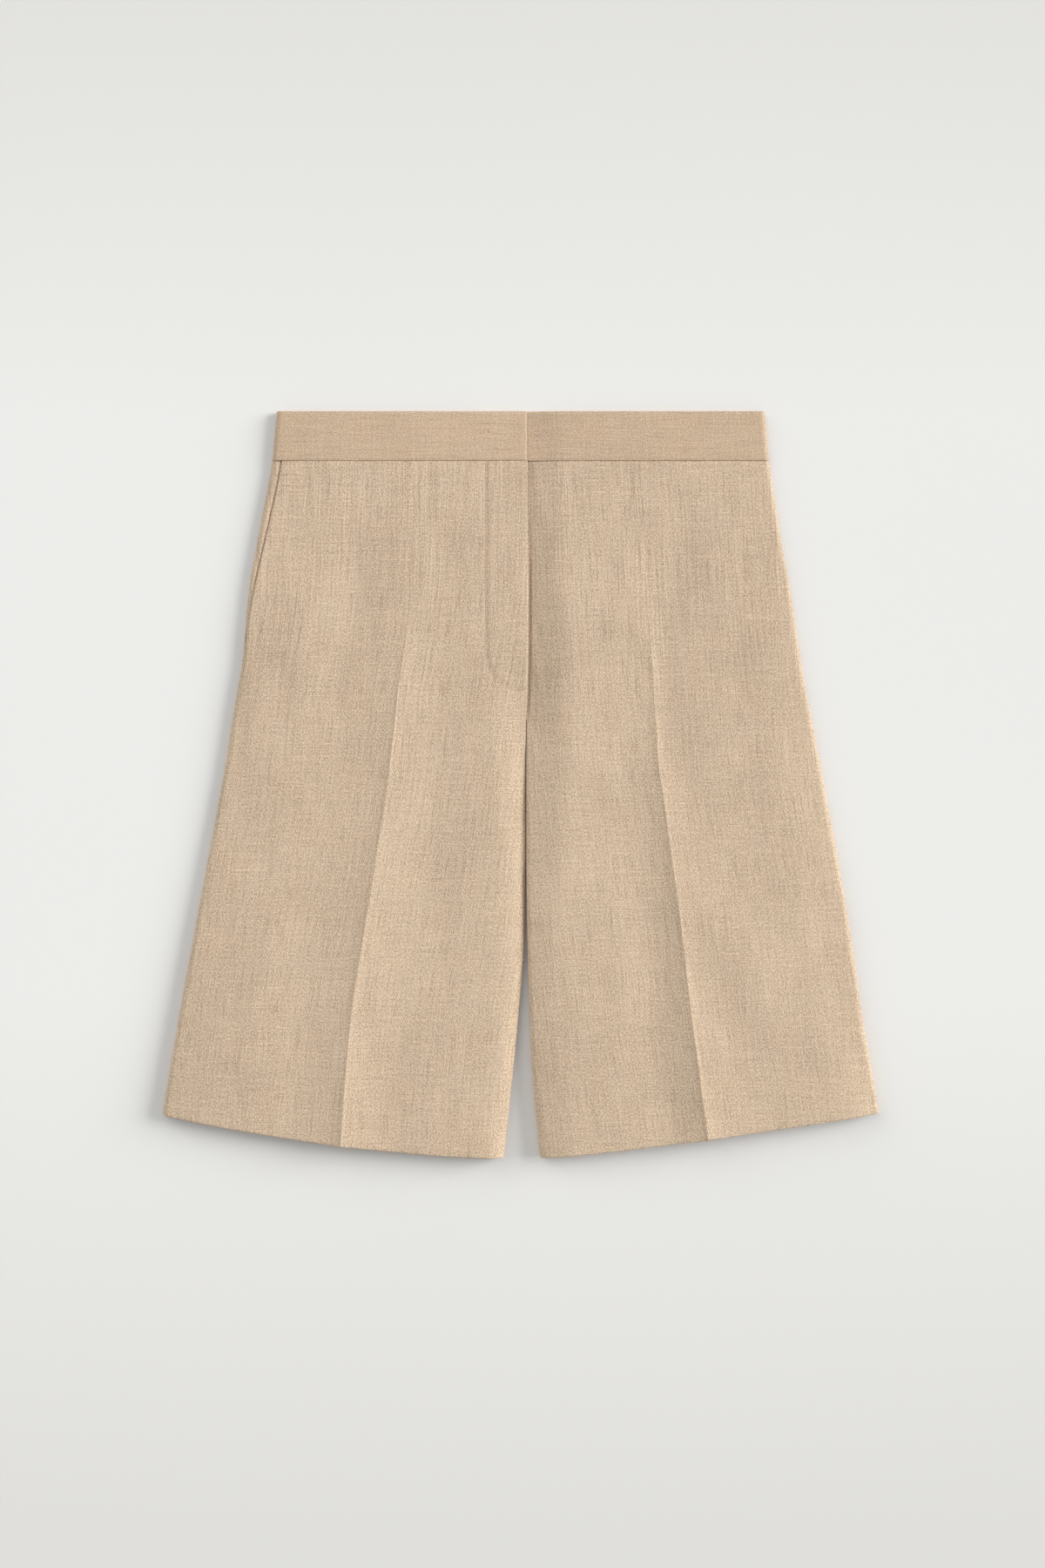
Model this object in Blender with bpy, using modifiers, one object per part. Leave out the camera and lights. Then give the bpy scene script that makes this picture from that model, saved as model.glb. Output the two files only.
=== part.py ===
"""Bermuda shorts in plain-woven cloth, lying flat on their back, front up.

Every piece is cut as a sheet and given the cloth's thickness. All sizes below are in
millimetres, and MM turns them into Blender's metres where a mesh is made.

Places on the garment are given by two distances:
    across  from the centre front outwards, towards the side seam of the piece's own side
    down    from the waistband's top edge towards the hem
In the finished part +X is the wearer's left, +Y is the waist end and +Z is up. The origin
is on the surface that the shorts lie on, under the middle of their outline.
"""

import math
from collections import namedtuple

import bmesh
import bpy
import numpy as np

MM = 0.001
NAME = "bermuda_shorts"

# Cloth
CLOTH = 1.0
BAND_CLOTH = 1.9
SEAM_GAP = 0.3
LAYER = CLOTH + SEAM_GAP

# Main sizes
LENGTH = 564.0
BAND_DEPTH = 37.5
CROTCH = 338.0
CURL_LENGTH = 14.0

# Hem: the cloth turns up inside each leg round a tight fold.
TURN_UP = 38.0
FOLD_RADIUS = (2 * CLOTH + SEAM_GAP) / 2
HEM_EASE = 4.0

# The side edges' roll, and the slopes from the rolled edges up to the level top of a leg
SIDE_ROLL = 4.0
SIDE_SLOPE = 38.0
STEEPER_FROM = 214.0
STEEPER_RUN = 60.0
CREASE_REACH = 46.0

# Fly
FLY_END = 214.0
FACING_TURN = 178.0
FACING_SPLITS = (1.0, 1.5, 2.0, 2.4, 2.75)
FACING_STEPS = 4
SHIELD_START = 1.0
SHIELD_WIDTH = 37.0
SHIELD_ROUND = 16.0
SHIELD_ANGLES = np.radians([30, 60, 85])
ZIP_WIDTH = 20.0
ZIP_END = 205.0
LAP = 6.0
STRIP_ROWS = 4
STRIP_COLUMNS = 4

# Pockets
MOUTH_INSET = 7.5
MOUTH_END = 186.0
SIDE_PIECE_TUCK = (28.7, 15.4, 6.0)
BAG_BOTTOM = 288.0
BAG_ROUND = 34.0
BAG_STEPS = 3
BAG_SIDE_END = 0.97

# Where the sheets have their points: angles round a rolled edge, shares of a slope, and
# the most and the least that two rows may lie apart
ROLL_ANGLES = np.radians([0, 7, 34, 62, 90])
SLOPE_SHARES = np.array([0.3, 0.65, 1.0])
BODY_COLUMNS = 4
BACK_COLUMNS = 4
CREASE_SIDE = 7.0
ROW_SPAN = 30.0
ROW_LEAST = 1.0
BAND_ROWS = 3
BAND_SLOPE_COLUMNS = 4
FOLD_STEPS = 4
TURN_UP_ROWS = 3

# Times that a row's level is worked out again as it bends, the step for a slope, and the
# least share of a roll's normal that points up
ROW_PASSES = 4
NUDGE = 0.01
LEAST_SINE = 0.001

# Columns of a front, counted from its inner edge, that the pieces under it share
SLOPE_END = len(ROLL_ANGLES) + len(SLOPE_SHARES) - 1
CREASE_START = SLOPE_END + BODY_COLUMNS + 1
SIDE_START = CREASE_START + BODY_COLUMNS + 3

# One row for each level of the garment's right and left half:
#   down    distance below the waist's top edge
#   outer   centre front to side seam
#   inner   centre front to the half's inner edge, below zero where it laps past the centre
#   top     height of the level part of the front
#   centre  height of the front beside its inner edge
#   seam    height of the front at its very edge, where it has rolled down to the seam
#   roll    how wide that roll is
#   slope   how far the front takes to rise from centre to top
#   edge    half the height of the rolled side edge
#   crease  centre front to the pressed crease
#   ridge   how far the crease stands up
Level = namedtuple("Level", "down outer inner top centre seam roll slope edge crease ridge")

RIGHT_LEVELS = (
    Level(0, 188.5, -1.4, 7, 6.4, 6.4, 3.1, 30, 3.3, 84, 0),
    Level(38, 192.1, -1.4, 7, 6.2, 6.2, 3.1, 30, 3.3, 84, 0),
    Level(84, 200.6, -1.6, 7.6, 6.2, 6.2, 3.1, 30, 3.4, 85, 0),
    Level(137, 209.9, -1.8, 8.2, 6.2, 6.2, 3.1, 30, 3.5, 87, 0.2),
    Level(189, 214.5, -1.4, 8.8, 6.2, 6.2, 3.1, 30, 3.6, 93, 0.8),
    Level(214, 218.8, -0.8, 9.1, 6.2, 6.2, 3.1, 30, 3.6, 97, 1.2),
    Level(236, 222.6, 0.15, 9.4, 4.6, 4.6, 2.4, 28, 3.6, 99, 1.6),
    Level(262, 226.5, 0.15, 9.7, 3.6, 3.6, 2.4, 26, 3.6, 102, 2),
    Level(295, 232.3, 0.15, 10.2, 3.5, 3.5, 2.4, 24, 3.7, 106, 2.4),
    Level(338, 240.4, 0.15, 11, 4, 4, 2.6, 22, 3.9, 113, 2.9),
    Level(352, 242.9, 0.3, 11.4, 5, 2.65, 2.6, 22, 4, 115, 3.1),
    Level(401, 252.1, 1, 12.6, 7, 3.65, 4, 22, 4.3, 123, 3.5),
    Level(453, 261.4, 5.3, 13.8, 9, 4.65, 6, 20, 4.6, 131, 4),
    Level(506, 270.6, 10.6, 14.8, 10.6, 5.45, 8, 18, 4.9, 136, 4.4),
    Level(564, 279.3, 16.8, 15.8, 12, 6.15, 8, 18, 5.2, 140, 4.8),
)
LEFT_LEVELS = (
    Level(0, 180.5, -6, 7, 4.1, 4.1, 1.8, 30, 3.3, 88, 0),
    Level(38, 184.1, -6, 7, 3.6, 3.6, 1.8, 30, 3.3, 88, 0),
    Level(84, 190.7, -6, 7.6, 3.6, 3.6, 1.8, 30, 3.4, 90, 0),
    Level(137, 200, -6, 8.2, 3.6, 3.6, 1.8, 30, 3.5, 92, 0.2),
    Level(189, 207.9, -6, 8.8, 3.6, 3.6, 1.8, 30, 3.6, 95, 0.8),
    Level(214, 212.3, -5, 9.1, 3.6, 3.6, 1.8, 30, 3.6, 96.5, 1.2),
    Level(236, 216.6, 0.15, 9.4, 3.6, 3.6, 1.8, 30, 3.6, 98, 1.5),
    Level(262, 221.5, 0.15, 9.7, 5.4, 3.4, 2, 30, 3.6, 99.5, 1.9),
    Level(295, 227.7, 0.15, 10.2, 7, 3.4, 3.6, 30, 3.7, 104, 2.3),
    Level(338, 235.8, 0.15, 11, 8.6, 3.4, 4.5, 30, 3.9, 110, 2.8),
    Level(352, 238.1, 0.3, 11.4, 9, 4.65, 4.5, 30, 4, 112, 3),
    Level(401, 246.2, 1, 12.6, 10.4, 5.35, 4.6, 30, 4.3, 118, 3.5),
    Level(453, 253.4, 2.6, 13.8, 11.4, 5.85, 4.7, 30, 4.6, 124, 4),
    Level(506, 262.7, 5.3, 14.8, 12.2, 6.25, 4.8, 30, 4.9, 131, 4.4),
    Level(564, 272, 10.6, 15.8, 12.8, 6.55, 5, 30, 5.2, 139, 4.8),
)

# Each half: the sign of X on its side, how much higher its hem is at the side seam than at
# the inseam, how late that rise comes, and how far its pocket's mouth lies inside the side
# seam at the top.
Half = namedtuple("Half", "name sign levels hem_rise hem_power mouth_inset")
RIGHT = Half("right", -1, RIGHT_LEVELS, 32.3, 1.6, MOUTH_INSET)
LEFT = Half("left", 1, LEFT_LEVELS, 34.0, 1.2, 0.0)
HALVES = (RIGHT, LEFT)

# Large soft folds of the fronts. A fold runs from its start to its end, bowed sideways in
# the middle, and stands up (or, below zero, sinks) by its height. It fades out over a share
# of its length at each end.
FOLD_FADE = 0.3
Fold = namedtuple("Fold", "half across down end_across end_down bow width height")
FOLDS = (
    Fold(RIGHT, 74, 216, 66, 447, 0, 22, -1.5),
    Fold(RIGHT, 156, 110, 190, 345, 6, 22, 1.2),
    Fold(RIGHT, 104, 450, 96, 640, 0, 18, -1.2),
    Fold(LEFT, 28, 50, 62, 380, 0, 20, 1.2),
    Fold(LEFT, 134, 60, 138, 335, -34, 17, -1.9),
    Fold(LEFT, 134, 345, 196, 490, 0, 19, 1.2),
)

# The colour, roughness and metallic value of each kind of piece
Finish = namedtuple("Finish", "colour roughness metallic")
SHELL_CLOTH = Finish((0.62, 0.49, 0.36), 0.92, 0.0)
BAND_FINISH = Finish((0.57, 0.44, 0.31), 0.92, 0.0)
POCKETING = Finish((0.66, 0.56, 0.44), 0.90, 0.0)
ZIP_TAPE = Finish((0.55, 0.44, 0.33), 0.80, 0.0)


# ---------------------------------------------------------------- reading the tables

def through(xs, ys, x):
    """Reads a smooth curve through the points xs, ys. It never swings past them."""
    xs = np.asarray(xs, float)
    ys = np.asarray(ys, float)
    x = np.clip(x, xs[0], xs[-1])
    step = np.diff(xs)
    secant = np.diff(ys) / step
    before, after = secant[:-1], secant[1:]
    slope = np.zeros(len(xs))
    same_way = before * after > 0
    total = np.where(same_way, before + after, 1.0)
    slope[1:-1] = np.where(same_way, 2 * before * after / total, 0.0)
    slope[0], slope[-1] = secant[0], secant[-1]
    i = np.clip(np.searchsorted(xs, x, side="right") - 1, 0, len(step) - 1)
    s = (x - xs[i]) / step[i]
    return (
        ys[i] * (1 + 2 * s) * (1 - s) ** 2
        + ys[i + 1] * s * s * (3 - 2 * s)
        + step[i] * (slope[i] * s * (1 - s) ** 2 - slope[i + 1] * s * s * (1 - s))
    )


def level(half, column, down):
    """A column of the half's table of levels, read at a distance down."""
    downs = [row.down for row in half.levels]
    values = [getattr(row, column) for row in half.levels]
    return through(downs, values, down)


def ease(x):
    """Rises smoothly from 0 to 1 as x does."""
    x = np.clip(x, 0.0, 1.0)
    return x * x * (3 - 2 * x)


# ---------------------------------------------------------------- the cloth's form

def curl(down):
    """How far the inner edges have rolled up into an inseam: 0 above the crotch, 1 below."""
    return ease((down - CROTCH) / CURL_LENGTH)


def folds(half, across, down):
    """The height that the soft folds add."""
    height = np.zeros(np.broadcast(across, down).shape)
    for fold in FOLDS:
        if fold.half is not half:
            continue
        run = np.array([fold.end_across - fold.across, fold.end_down - fold.down], float)
        length = np.hypot(*run)
        run = run / length
        along = ((across - fold.across) * run[0] + (down - fold.down) * run[1]) / length
        aside = (across - fold.across) * run[1] - (down - fold.down) * run[0]
        inside = np.clip(along, 0.0, 1.0)
        aside = aside - fold.bow * 4 * inside * (1 - inside)
        fade = ease(along / FOLD_FADE) * ease((1 - along) / FOLD_FADE)
        height = height + fold.height * fade * np.exp(-((aside / fold.width) ** 2))
    return height


def below_top(half, across, down):
    """How far the slope behind the inner edge lies below the top, from 1 at the edge to 0.

    Beside the fly it starts level. Below, it is steepest at the edge.
    """
    from_centre = across - np.maximum(level(half, "inner", down), 0.0)
    share = np.clip(from_centre / level(half, "slope", down), 0.0, 1.0)
    level_start = 1 - ease((down - STEEPER_FROM) / STEEPER_RUN)
    return (1 - share) ** 2 * (1 + 2 * share * level_start)


def unrolled_front(half, across, down):
    """The height of a front's outer face before its edges are rolled under."""
    top = level(half, "top", down)
    to_side = np.clip((level(half, "outer", down) - across) / SIDE_SLOPE, 0.0, 1.0)
    off_crease = np.abs(across - level(half, "crease", down)) / CREASE_REACH

    height = top - (top - 2 * level(half, "edge", down)) * (1 - to_side) ** 2
    height = height - (top - level(half, "centre", down)) * below_top(half, across, down)
    height = height + level(half, "ridge", down) * np.clip(1 - off_crease, 0.0, 1.0) ** 2
    return height + folds(half, across, down)


def rolled(from_edge, width):
    """Cosine and sine of the angle that an edge's roll has turned through at a point."""
    cosine = 1 - np.clip(from_edge / width, 0.0, 1.0)
    return cosine, np.sqrt(1 - cosine**2)


def side_roll(half, across, down):
    """The side edge's roll at a point."""
    return rolled(level(half, "outer", down) - across, SIDE_ROLL)


def side_reach(half, down):
    """How far the side edge's roll goes up or down, to a seam at half height."""
    return level(half, "edge", down) - SEAM_GAP / 2


def inner_roll(half, across, down):
    """The inner edge's roll at a point."""
    from_inner = across - np.maximum(level(half, "inner", down), SEAM_GAP / 2)
    return rolled(from_inner, level(half, "roll", down))


def front_reach(half, down):
    """How far a front's inner edge rolls down to its seam."""
    return level(half, "centre", down) - level(half, "seam", down)


def back_reach(half, down):
    """How far a back's inner edge rolls up to the inseam, which starts at the crotch."""
    return curl(down) * (level(half, "seam", down) - SEAM_GAP)


def front_height(half, across, down):
    """The height of a front's outer face."""
    side = side_reach(half, down) * (1 - side_roll(half, across, down)[1])
    inner = front_reach(half, down) * (1 - inner_roll(half, across, down)[1])
    return unrolled_front(half, across, down) - side - inner


def back_height(half, across, down):
    """The height of a back's outer face: level, but for the edges that roll up to a seam."""
    side = side_reach(half, down) * (1 - side_roll(half, across, down)[1])
    return side + back_reach(half, down) * (1 - inner_roll(half, across, down)[1])


def outward(surface, half, across, down):
    """The direction out of a front's or a back's outer face."""
    is_front = surface is front_height
    side_cosine, side_sine = side_roll(half, across, down)
    inner_cosine, inner_sine = inner_roll(half, across, down)
    side_sine = np.maximum(side_sine, LEAST_SINE)
    inner_sine = np.maximum(inner_sine, LEAST_SINE)
    inner_reach = front_reach(half, down) if is_front else back_reach(half, down)
    if is_front:
        here = unrolled_front(half, across, down)
        by_across = (unrolled_front(half, across + NUDGE, down) - here) / NUDGE
        by_down = (unrolled_front(half, across, down + NUDGE) - here) / NUDGE
    else:
        by_across = np.zeros_like(across)
        by_down = np.zeros_like(across)
    side_lean = (level(half, "outer", down + NUDGE) - level(half, "outer", down)) / NUDGE
    inner_lean = (level(half, "inner", down + NUDGE) - level(half, "inner", down)) / NUDGE

    level_share = side_sine * inner_sine
    to_side = side_cosine * inner_sine * side_reach(half, down) / SIDE_ROLL
    to_inner = inner_cosine * side_sine * inner_reach / level(half, "roll", down)
    normal = np.stack([
        to_side - to_inner - level_share * by_across,
        to_inner * inner_lean - to_side * side_lean - level_share * by_down,
        level_share if is_front else -level_share,
    ], axis=-1)
    return normal / np.linalg.norm(normal, axis=-1, keepdims=True)


def on_surface(surface, half, across, down, sunk=0.0):
    """Points (across, down, height) on a face of the garment, moved in by sunk."""
    height = surface(half, across, down)
    points = np.stack([across, down, height], axis=-1)
    return points - sunk * outward(surface, half, across, down)


# ---------------------------------------------------------------- where the points lie

def mouth_inset(half, down):
    """How far inside the side seam the front stops, along the pocket's mouth."""
    share = np.clip((down - BAND_DEPTH) / (MOUTH_END - BAND_DEPTH), 0.0, 1.0)
    return half.mouth_inset * (1 - share**2)


def between(start, end, count):
    """Evenly spaced columns inside start and end, leaving both out."""
    shares = np.arange(1, count + 1) / (count + 1)
    return start + (end - start) * shares


def front_stations(half, down):
    """The across distances of a front's columns at one level, inner edge to side seam."""
    inner = level(half, "inner", down)
    outer = level(half, "outer", down) - mouth_inset(half, down)
    crease = level(half, "crease", down)
    at_inner = inner + level(half, "roll", down) * (1 - np.cos(ROLL_ANGLES))
    inner_slope = at_inner[-1] + level(half, "slope", down) * SLOPE_SHARES
    at_side = outer - SIDE_ROLL * (1 - np.cos(ROLL_ANGLES))[::-1]
    side_slope = at_side[0] - SIDE_SLOPE * SLOPE_SHARES[::-1]
    fold = [crease - CREASE_SIDE, crease, crease + CREASE_SIDE]
    return np.concatenate([
        at_inner,
        inner_slope,
        between(inner_slope[-1], fold[0], BODY_COLUMNS),
        fold,
        between(fold[-1], side_slope[0], BODY_COLUMNS),
        side_slope,
        at_side,
    ])


def back_stations(half, down):
    """The across distances of a back's columns at one level, inner edge to side seam."""
    inner = max(level(half, "inner", down), SEAM_GAP / 2)
    outer = level(half, "outer", down)
    at_inner = inner + level(half, "roll", down) * (1 - np.cos(ROLL_ANGLES))
    at_side = outer - SIDE_ROLL * (1 - np.cos(ROLL_ANGLES))[::-1]
    return np.concatenate([at_inner, between(at_inner[-1], at_side[0], BACK_COLUMNS), at_side])


def row_levels():
    """The levels of a panel's rows: those of the table, and one more in each long span."""
    start = BAND_DEPTH + SEAM_GAP
    end = LENGTH - FOLD_RADIUS
    marks = [start] + [row.down for row in RIGHT_LEVELS if start < row.down < end] + [end]
    marks = [mark for mark in marks if mark == start or mark - start > ROW_LEAST]
    rows = [start]
    for before, after in zip(marks, marks[1:]):
        if after - before > ROW_SPAN:
            rows.append((before + after) / 2)
        rows.append(after)
    return np.array(rows)


def panel_grid(half, stations, nominal_levels):
    """The across and down distances of a panel's points, its rows bent like the hem."""
    count = len(stations(half, CROTCH))
    across = np.zeros((len(nominal_levels), count))
    down = np.zeros_like(across)
    for row, nominal in enumerate(nominal_levels):
        ease_in = (nominal / LENGTH) ** HEM_EASE
        for column in range(count):
            here = nominal
            for _ in range(ROW_PASSES):
                line = stations(half, here)
                share = (line[column] - line[0]) / (line[-1] - line[0])
                here = nominal - half.hem_rise * share**half.hem_power * ease_in
            across[row, column] = stations(half, here)[column]
            down[row, column] = here
    return across, down


def leg_panel(half, surface, stations):
    """A front's or back's outer face: its rows to the hem, round the fold and up inside."""
    across, down = panel_grid(half, stations, row_levels())
    outside = on_surface(surface, half, across, down)

    normal = outward(surface, half, across[-1], down[-1])
    fold = []
    for turn in np.linspace(0, math.pi, FOLD_STEPS + 1)[1:]:
        points = outside[-1] - FOLD_RADIUS * (1 - math.cos(turn)) * normal
        points[:, 1] += FOLD_RADIUS * math.sin(turn)
        fold.append(points)

    share = np.arange(1, TURN_UP_ROWS + 1) / TURN_UP_ROWS
    across, down = panel_grid(half, stations, row_levels()[-1] - TURN_UP * share)
    inside = on_surface(surface, half, across, down, sunk=2 * FOLD_RADIUS)
    return np.concatenate([outside, np.array(fold), inside])


def under_front(half, rows, columns):
    """A piece under a front: the front's points at these rows and columns, moved in.

    Rows and columns are counted as the front's own are, and a part of a step lies between
    two of them, so the piece has the same bends as the cloth that covers it.
    """
    across, down = panel_grid(half, front_stations, row_levels())
    points = on_surface(front_height, half, across, down)
    points = points - LAYER * outward(front_height, half, across, down)
    low_row = np.minimum(np.floor(rows).astype(int), points.shape[0] - 2)
    low_column = np.minimum(np.floor(columns).astype(int), points.shape[1] - 2)
    part_row = (rows - low_row)[..., None]
    part_column = (columns - low_column)[..., None]
    upper = points[low_row, low_column] * (1 - part_column)
    upper = upper + points[low_row, low_column + 1] * part_column
    lower = points[low_row + 1, low_column] * (1 - part_column)
    lower = lower + points[low_row + 1, low_column + 1] * part_column
    return upper * (1 - part_row) + lower * part_row


def row_number(down):
    """The number of a front's row at this distance down, with a part for in between."""
    return np.interp(down, row_levels(), np.arange(len(row_levels())))


def with_shaped_end(half, columns, ends, last_whole_row, steps):
    """A piece under a front: whole rows first, then steps that fan out to its shaped end."""
    rows = [np.full(len(columns), float(row)) for row in range(last_whole_row + 1)]
    for step in range(1, steps + 1):
        rows.append(last_whole_row + (row_number(ends) - last_whole_row) * step / steps)
    rows = np.array(rows)
    return under_front(half, rows, np.tile(columns, (len(rows), 1)))


# ---------------------------------------------------------------- meshes and objects

def outline_centre():
    """The X that the middle of the outline has before it is moved to zero."""
    reach = {}
    for half in HALVES:
        reach[half.name] = float(level(half, "outer", LENGTH - half.hem_rise))
    return (reach["left"] - reach["right"]) / 2


def material_for(name, finish):
    material = bpy.data.materials.new(name)
    material.use_nodes = True
    shader = material.node_tree.nodes["Principled BSDF"]
    shader.inputs["Base Color"].default_value = (*finish.colour, 1.0)
    shader.inputs["Roughness"].default_value = finish.roughness
    shader.inputs["Metallic"].default_value = finish.metallic
    return material


def sheet(name, half, points, thickness, finish, way=1):
    """An object from a grid of outer points, given its thickness on the inner side."""
    rows, columns = points.shape[:2]
    mesh = bpy.data.meshes.new(name)
    grid = bmesh.new()
    bmesh.ops.create_grid(grid, x_segments=columns - 1, y_segments=rows - 1, size=1.0)
    for vertex in grid.verts:
        column = round((vertex.co.x + 1) / 2 * (columns - 1))
        row = round((vertex.co.y + 1) / 2 * (rows - 1))
        across, down, height = points[row, column]
        vertex.co.x = (half.sign * across - outline_centre()) * MM
        vertex.co.y = (LENGTH / 2 - down) * MM
        vertex.co.z = height * MM
    grid.normal_update()
    if sum(face.normal.z * face.calc_area() for face in grid.faces) * way < 0:
        bmesh.ops.reverse_faces(grid, faces=grid.faces)
    grid.to_mesh(mesh)
    grid.free()
    mesh.materials.append(material_for(name, finish))
    mesh.shade_smooth()
    piece = bpy.data.objects.new(name, mesh)
    bpy.data.collections[NAME].objects.link(piece)
    solid = piece.modifiers.new("cloth", "SOLIDIFY")
    solid.thickness = thickness * MM
    solid.offset = -1.0
    solid.use_even_offset = True
    solid.use_quality_normals = True
    return piece


def rolled_side(half, down):
    """The across distances of a side edge's columns, inwards to outwards."""
    return level(half, "outer", down) - SIDE_ROLL * (1 - np.cos(ROLL_ANGLES))[::-1]


# ---------------------------------------------------------------- the pieces

def make_fronts():
    for half in HALVES:
        points = leg_panel(half, front_height, front_stations)
        sheet(f"front_{half.name}", half, points, CLOTH, SHELL_CLOTH)


def make_backs():
    for half in HALVES:
        points = leg_panel(half, back_height, back_stations)
        sheet(f"back_{half.name}", half, points, CLOTH, SHELL_CLOTH, way=-1)


def make_front_bands():
    """The right end stops at the fly's edge, and the left one runs on under it."""
    starts = {"right": float(level(RIGHT, "inner", 0)), "left": -SHIELD_WIDTH}
    for half in HALVES:
        centre, top = level(half, "centre", 0), level(half, "top", 0)
        slope = level(half, "slope", 0) * np.linspace(0, 1, BAND_SLOPE_COLUMNS)
        rows = []
        for down in np.linspace(0, BAND_DEPTH, BAND_ROWS):
            roll = rolled_side(half, down)
            body = between(slope[-1], roll[0], BODY_COLUMNS)
            across = np.concatenate([[starts[half.name]], slope, body, roll])
            height = centre + (top - centre) * ease(across / slope[-1])
            edge = level(half, "edge", down)
            drop = (height - edge - SEAM_GAP / 2) * (1 - side_roll(half, across, down)[1])
            rows.append(np.stack([across, np.full_like(across, down), height - drop], axis=-1))
        sheet(f"waistband_{half.name}", half, np.array(rows), BAND_CLOTH, BAND_FINISH)


def make_back_band():
    """One strip across both halves, its ends rolled up at the side seams."""
    rows = []
    for down in np.linspace(0, BAND_DEPTH, BAND_ROWS):
        sides = []
        for half in HALVES:
            roll = rolled_side(half, down)
            across = np.concatenate([between(0.0, roll[0], BODY_COLUMNS), roll])
            height = side_reach(half, down) * (1 - side_roll(half, across, down)[1])
            side = np.stack([half.sign * across, np.full_like(across, down), height], axis=-1)
            sides.append(side)
        rows.append(np.concatenate([sides[0][::-1], [[0.0, down, 0.0]], sides[1]]))
    sheet("waistband_back", LEFT, np.array(rows), BAND_CLOTH, BAND_FINISH, way=-1)


def make_fly_facing():
    """Lies under the right front's fly edge and ends in a quarter round."""
    roll_end = len(ROLL_ANGLES) - 1
    splits = roll_end + np.array(FACING_SPLITS)
    columns = np.concatenate([[0, roll_end], splits, [SLOPE_END]])
    stations = front_stations(RIGHT, FACING_TURN)
    across = np.interp(columns, np.arange(len(stations)), stations)
    width = across[-1]
    ends = FACING_TURN + width * np.sqrt(1 - np.clip(across / width, 0.0, 1.0) ** 2)
    last_row = int(row_number(FACING_TURN))
    points = with_shaped_end(RIGHT, columns, ends, last_row, FACING_STEPS)
    sheet("fly_facing", RIGHT, points, CLOTH, SHELL_CLOTH)


def make_zip():
    """The closed zip's tape, seamed to the left front's edge and level with it."""
    start = LAP + SEAM_GAP
    across = np.linspace(start, start + ZIP_WIDTH, STRIP_COLUMNS)
    rows = []
    for down in np.linspace(BAND_DEPTH + SEAM_GAP, ZIP_END, STRIP_ROWS):
        rows.append([(x, down, 2 * LAYER + CLOTH) for x in across])
    sheet("fly_zip", RIGHT, np.array(rows), CLOTH, ZIP_TAPE)


def make_fly_shield():
    """A level strip on the back, under the zip, its lower corner rounded."""
    top = BAND_DEPTH + SEAM_GAP
    turn = FLY_END - SHIELD_ROUND
    rows = []
    for down in np.linspace(top, turn, STRIP_ROWS):
        rows.append((down, SHIELD_WIDTH))
    for angle in SHIELD_ANGLES:
        rows.append((
            turn + SHIELD_ROUND * math.sin(angle),
            SHIELD_WIDTH - SHIELD_ROUND * (1 - math.cos(angle)),
        ))
    points = []
    for down, end in rows:
        across = np.linspace(SHIELD_START, end, STRIP_COLUMNS)
        points.append([(x, down, LAYER + CLOTH) for x in across])
    sheet("fly_shield", RIGHT, np.array(points), CLOTH, SHELL_CLOTH)


def make_pocket_side():
    """The cloth that shows past the right pocket's mouth, and runs on under the front."""
    rows = []
    for down in row_levels()[row_levels() < MOUTH_END]:
        edge = level(RIGHT, "outer", down) - mouth_inset(RIGHT, down)
        tucked = edge - np.array(SIDE_PIECE_TUCK)
        across = np.concatenate([tucked, rolled_side(RIGHT, down)])
        downs = np.full_like(across, down)
        rows.append(on_surface(front_height, RIGHT, across, downs, sunk=LAYER))
    sheet("pocket_side_right", RIGHT, np.array(rows), CLOTH, SHELL_CLOTH)


def make_pocket_bags():
    """Flat bags under the fronts, caught in the waistband's seam, round at the bottom.

    The right one ends at the pocket's side piece, the left one near the side seam.
    """
    body = np.arange(CREASE_START, SIDE_START + 1, dtype=float)
    columns = {
        "right": np.append(body, SIDE_START + BAG_SIDE_END),
        "left": np.append(body, [SIDE_START + 1, SIDE_START + 2]),
    }
    for half in HALVES:
        share = np.linspace(-1, 1, len(columns[half.name]))
        ends = BAG_BOTTOM - BAG_ROUND * np.abs(share) ** 3
        last_row = int(row_number(BAG_BOTTOM - BAG_ROUND)) - 1
        points = with_shaped_end(half, columns[half.name], ends, last_row, BAG_STEPS)
        sheet(f"pocket_bag_{half.name}", half, points, CLOTH, POCKETING)


def main():
    for item in list(bpy.data.objects):
        bpy.data.objects.remove(item)
    collection = bpy.data.collections.new(NAME)
    bpy.context.scene.collection.children.link(collection)
    make_backs()
    make_back_band()
    make_fly_shield()
    make_zip()
    make_fly_facing()
    make_pocket_side()
    make_pocket_bags()
    make_fronts()
    make_front_bands()


main()
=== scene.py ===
"""The looks of a pair of bermuda shorts that lie flat on their back, front up.

Every piece of cloth is a fine shell on the form of its CAD solid, with folds, pressed creases,
seams and sewing added. It is worked out from the same tables as the solid, in which a few
levels and slopes were changed by up to 3 mm to follow the light in the photo. Sizes are in
millimetres, and MM turns them into Blender's metres where a mesh is made.

Places on the garment are given by two distances:
    across  from the centre front outwards, towards the side seam of the piece's own side
    down    from the waistband's top edge towards the hem
"""

import math
from collections import namedtuple

import bpy
import numpy as np
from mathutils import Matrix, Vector, noise

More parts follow.
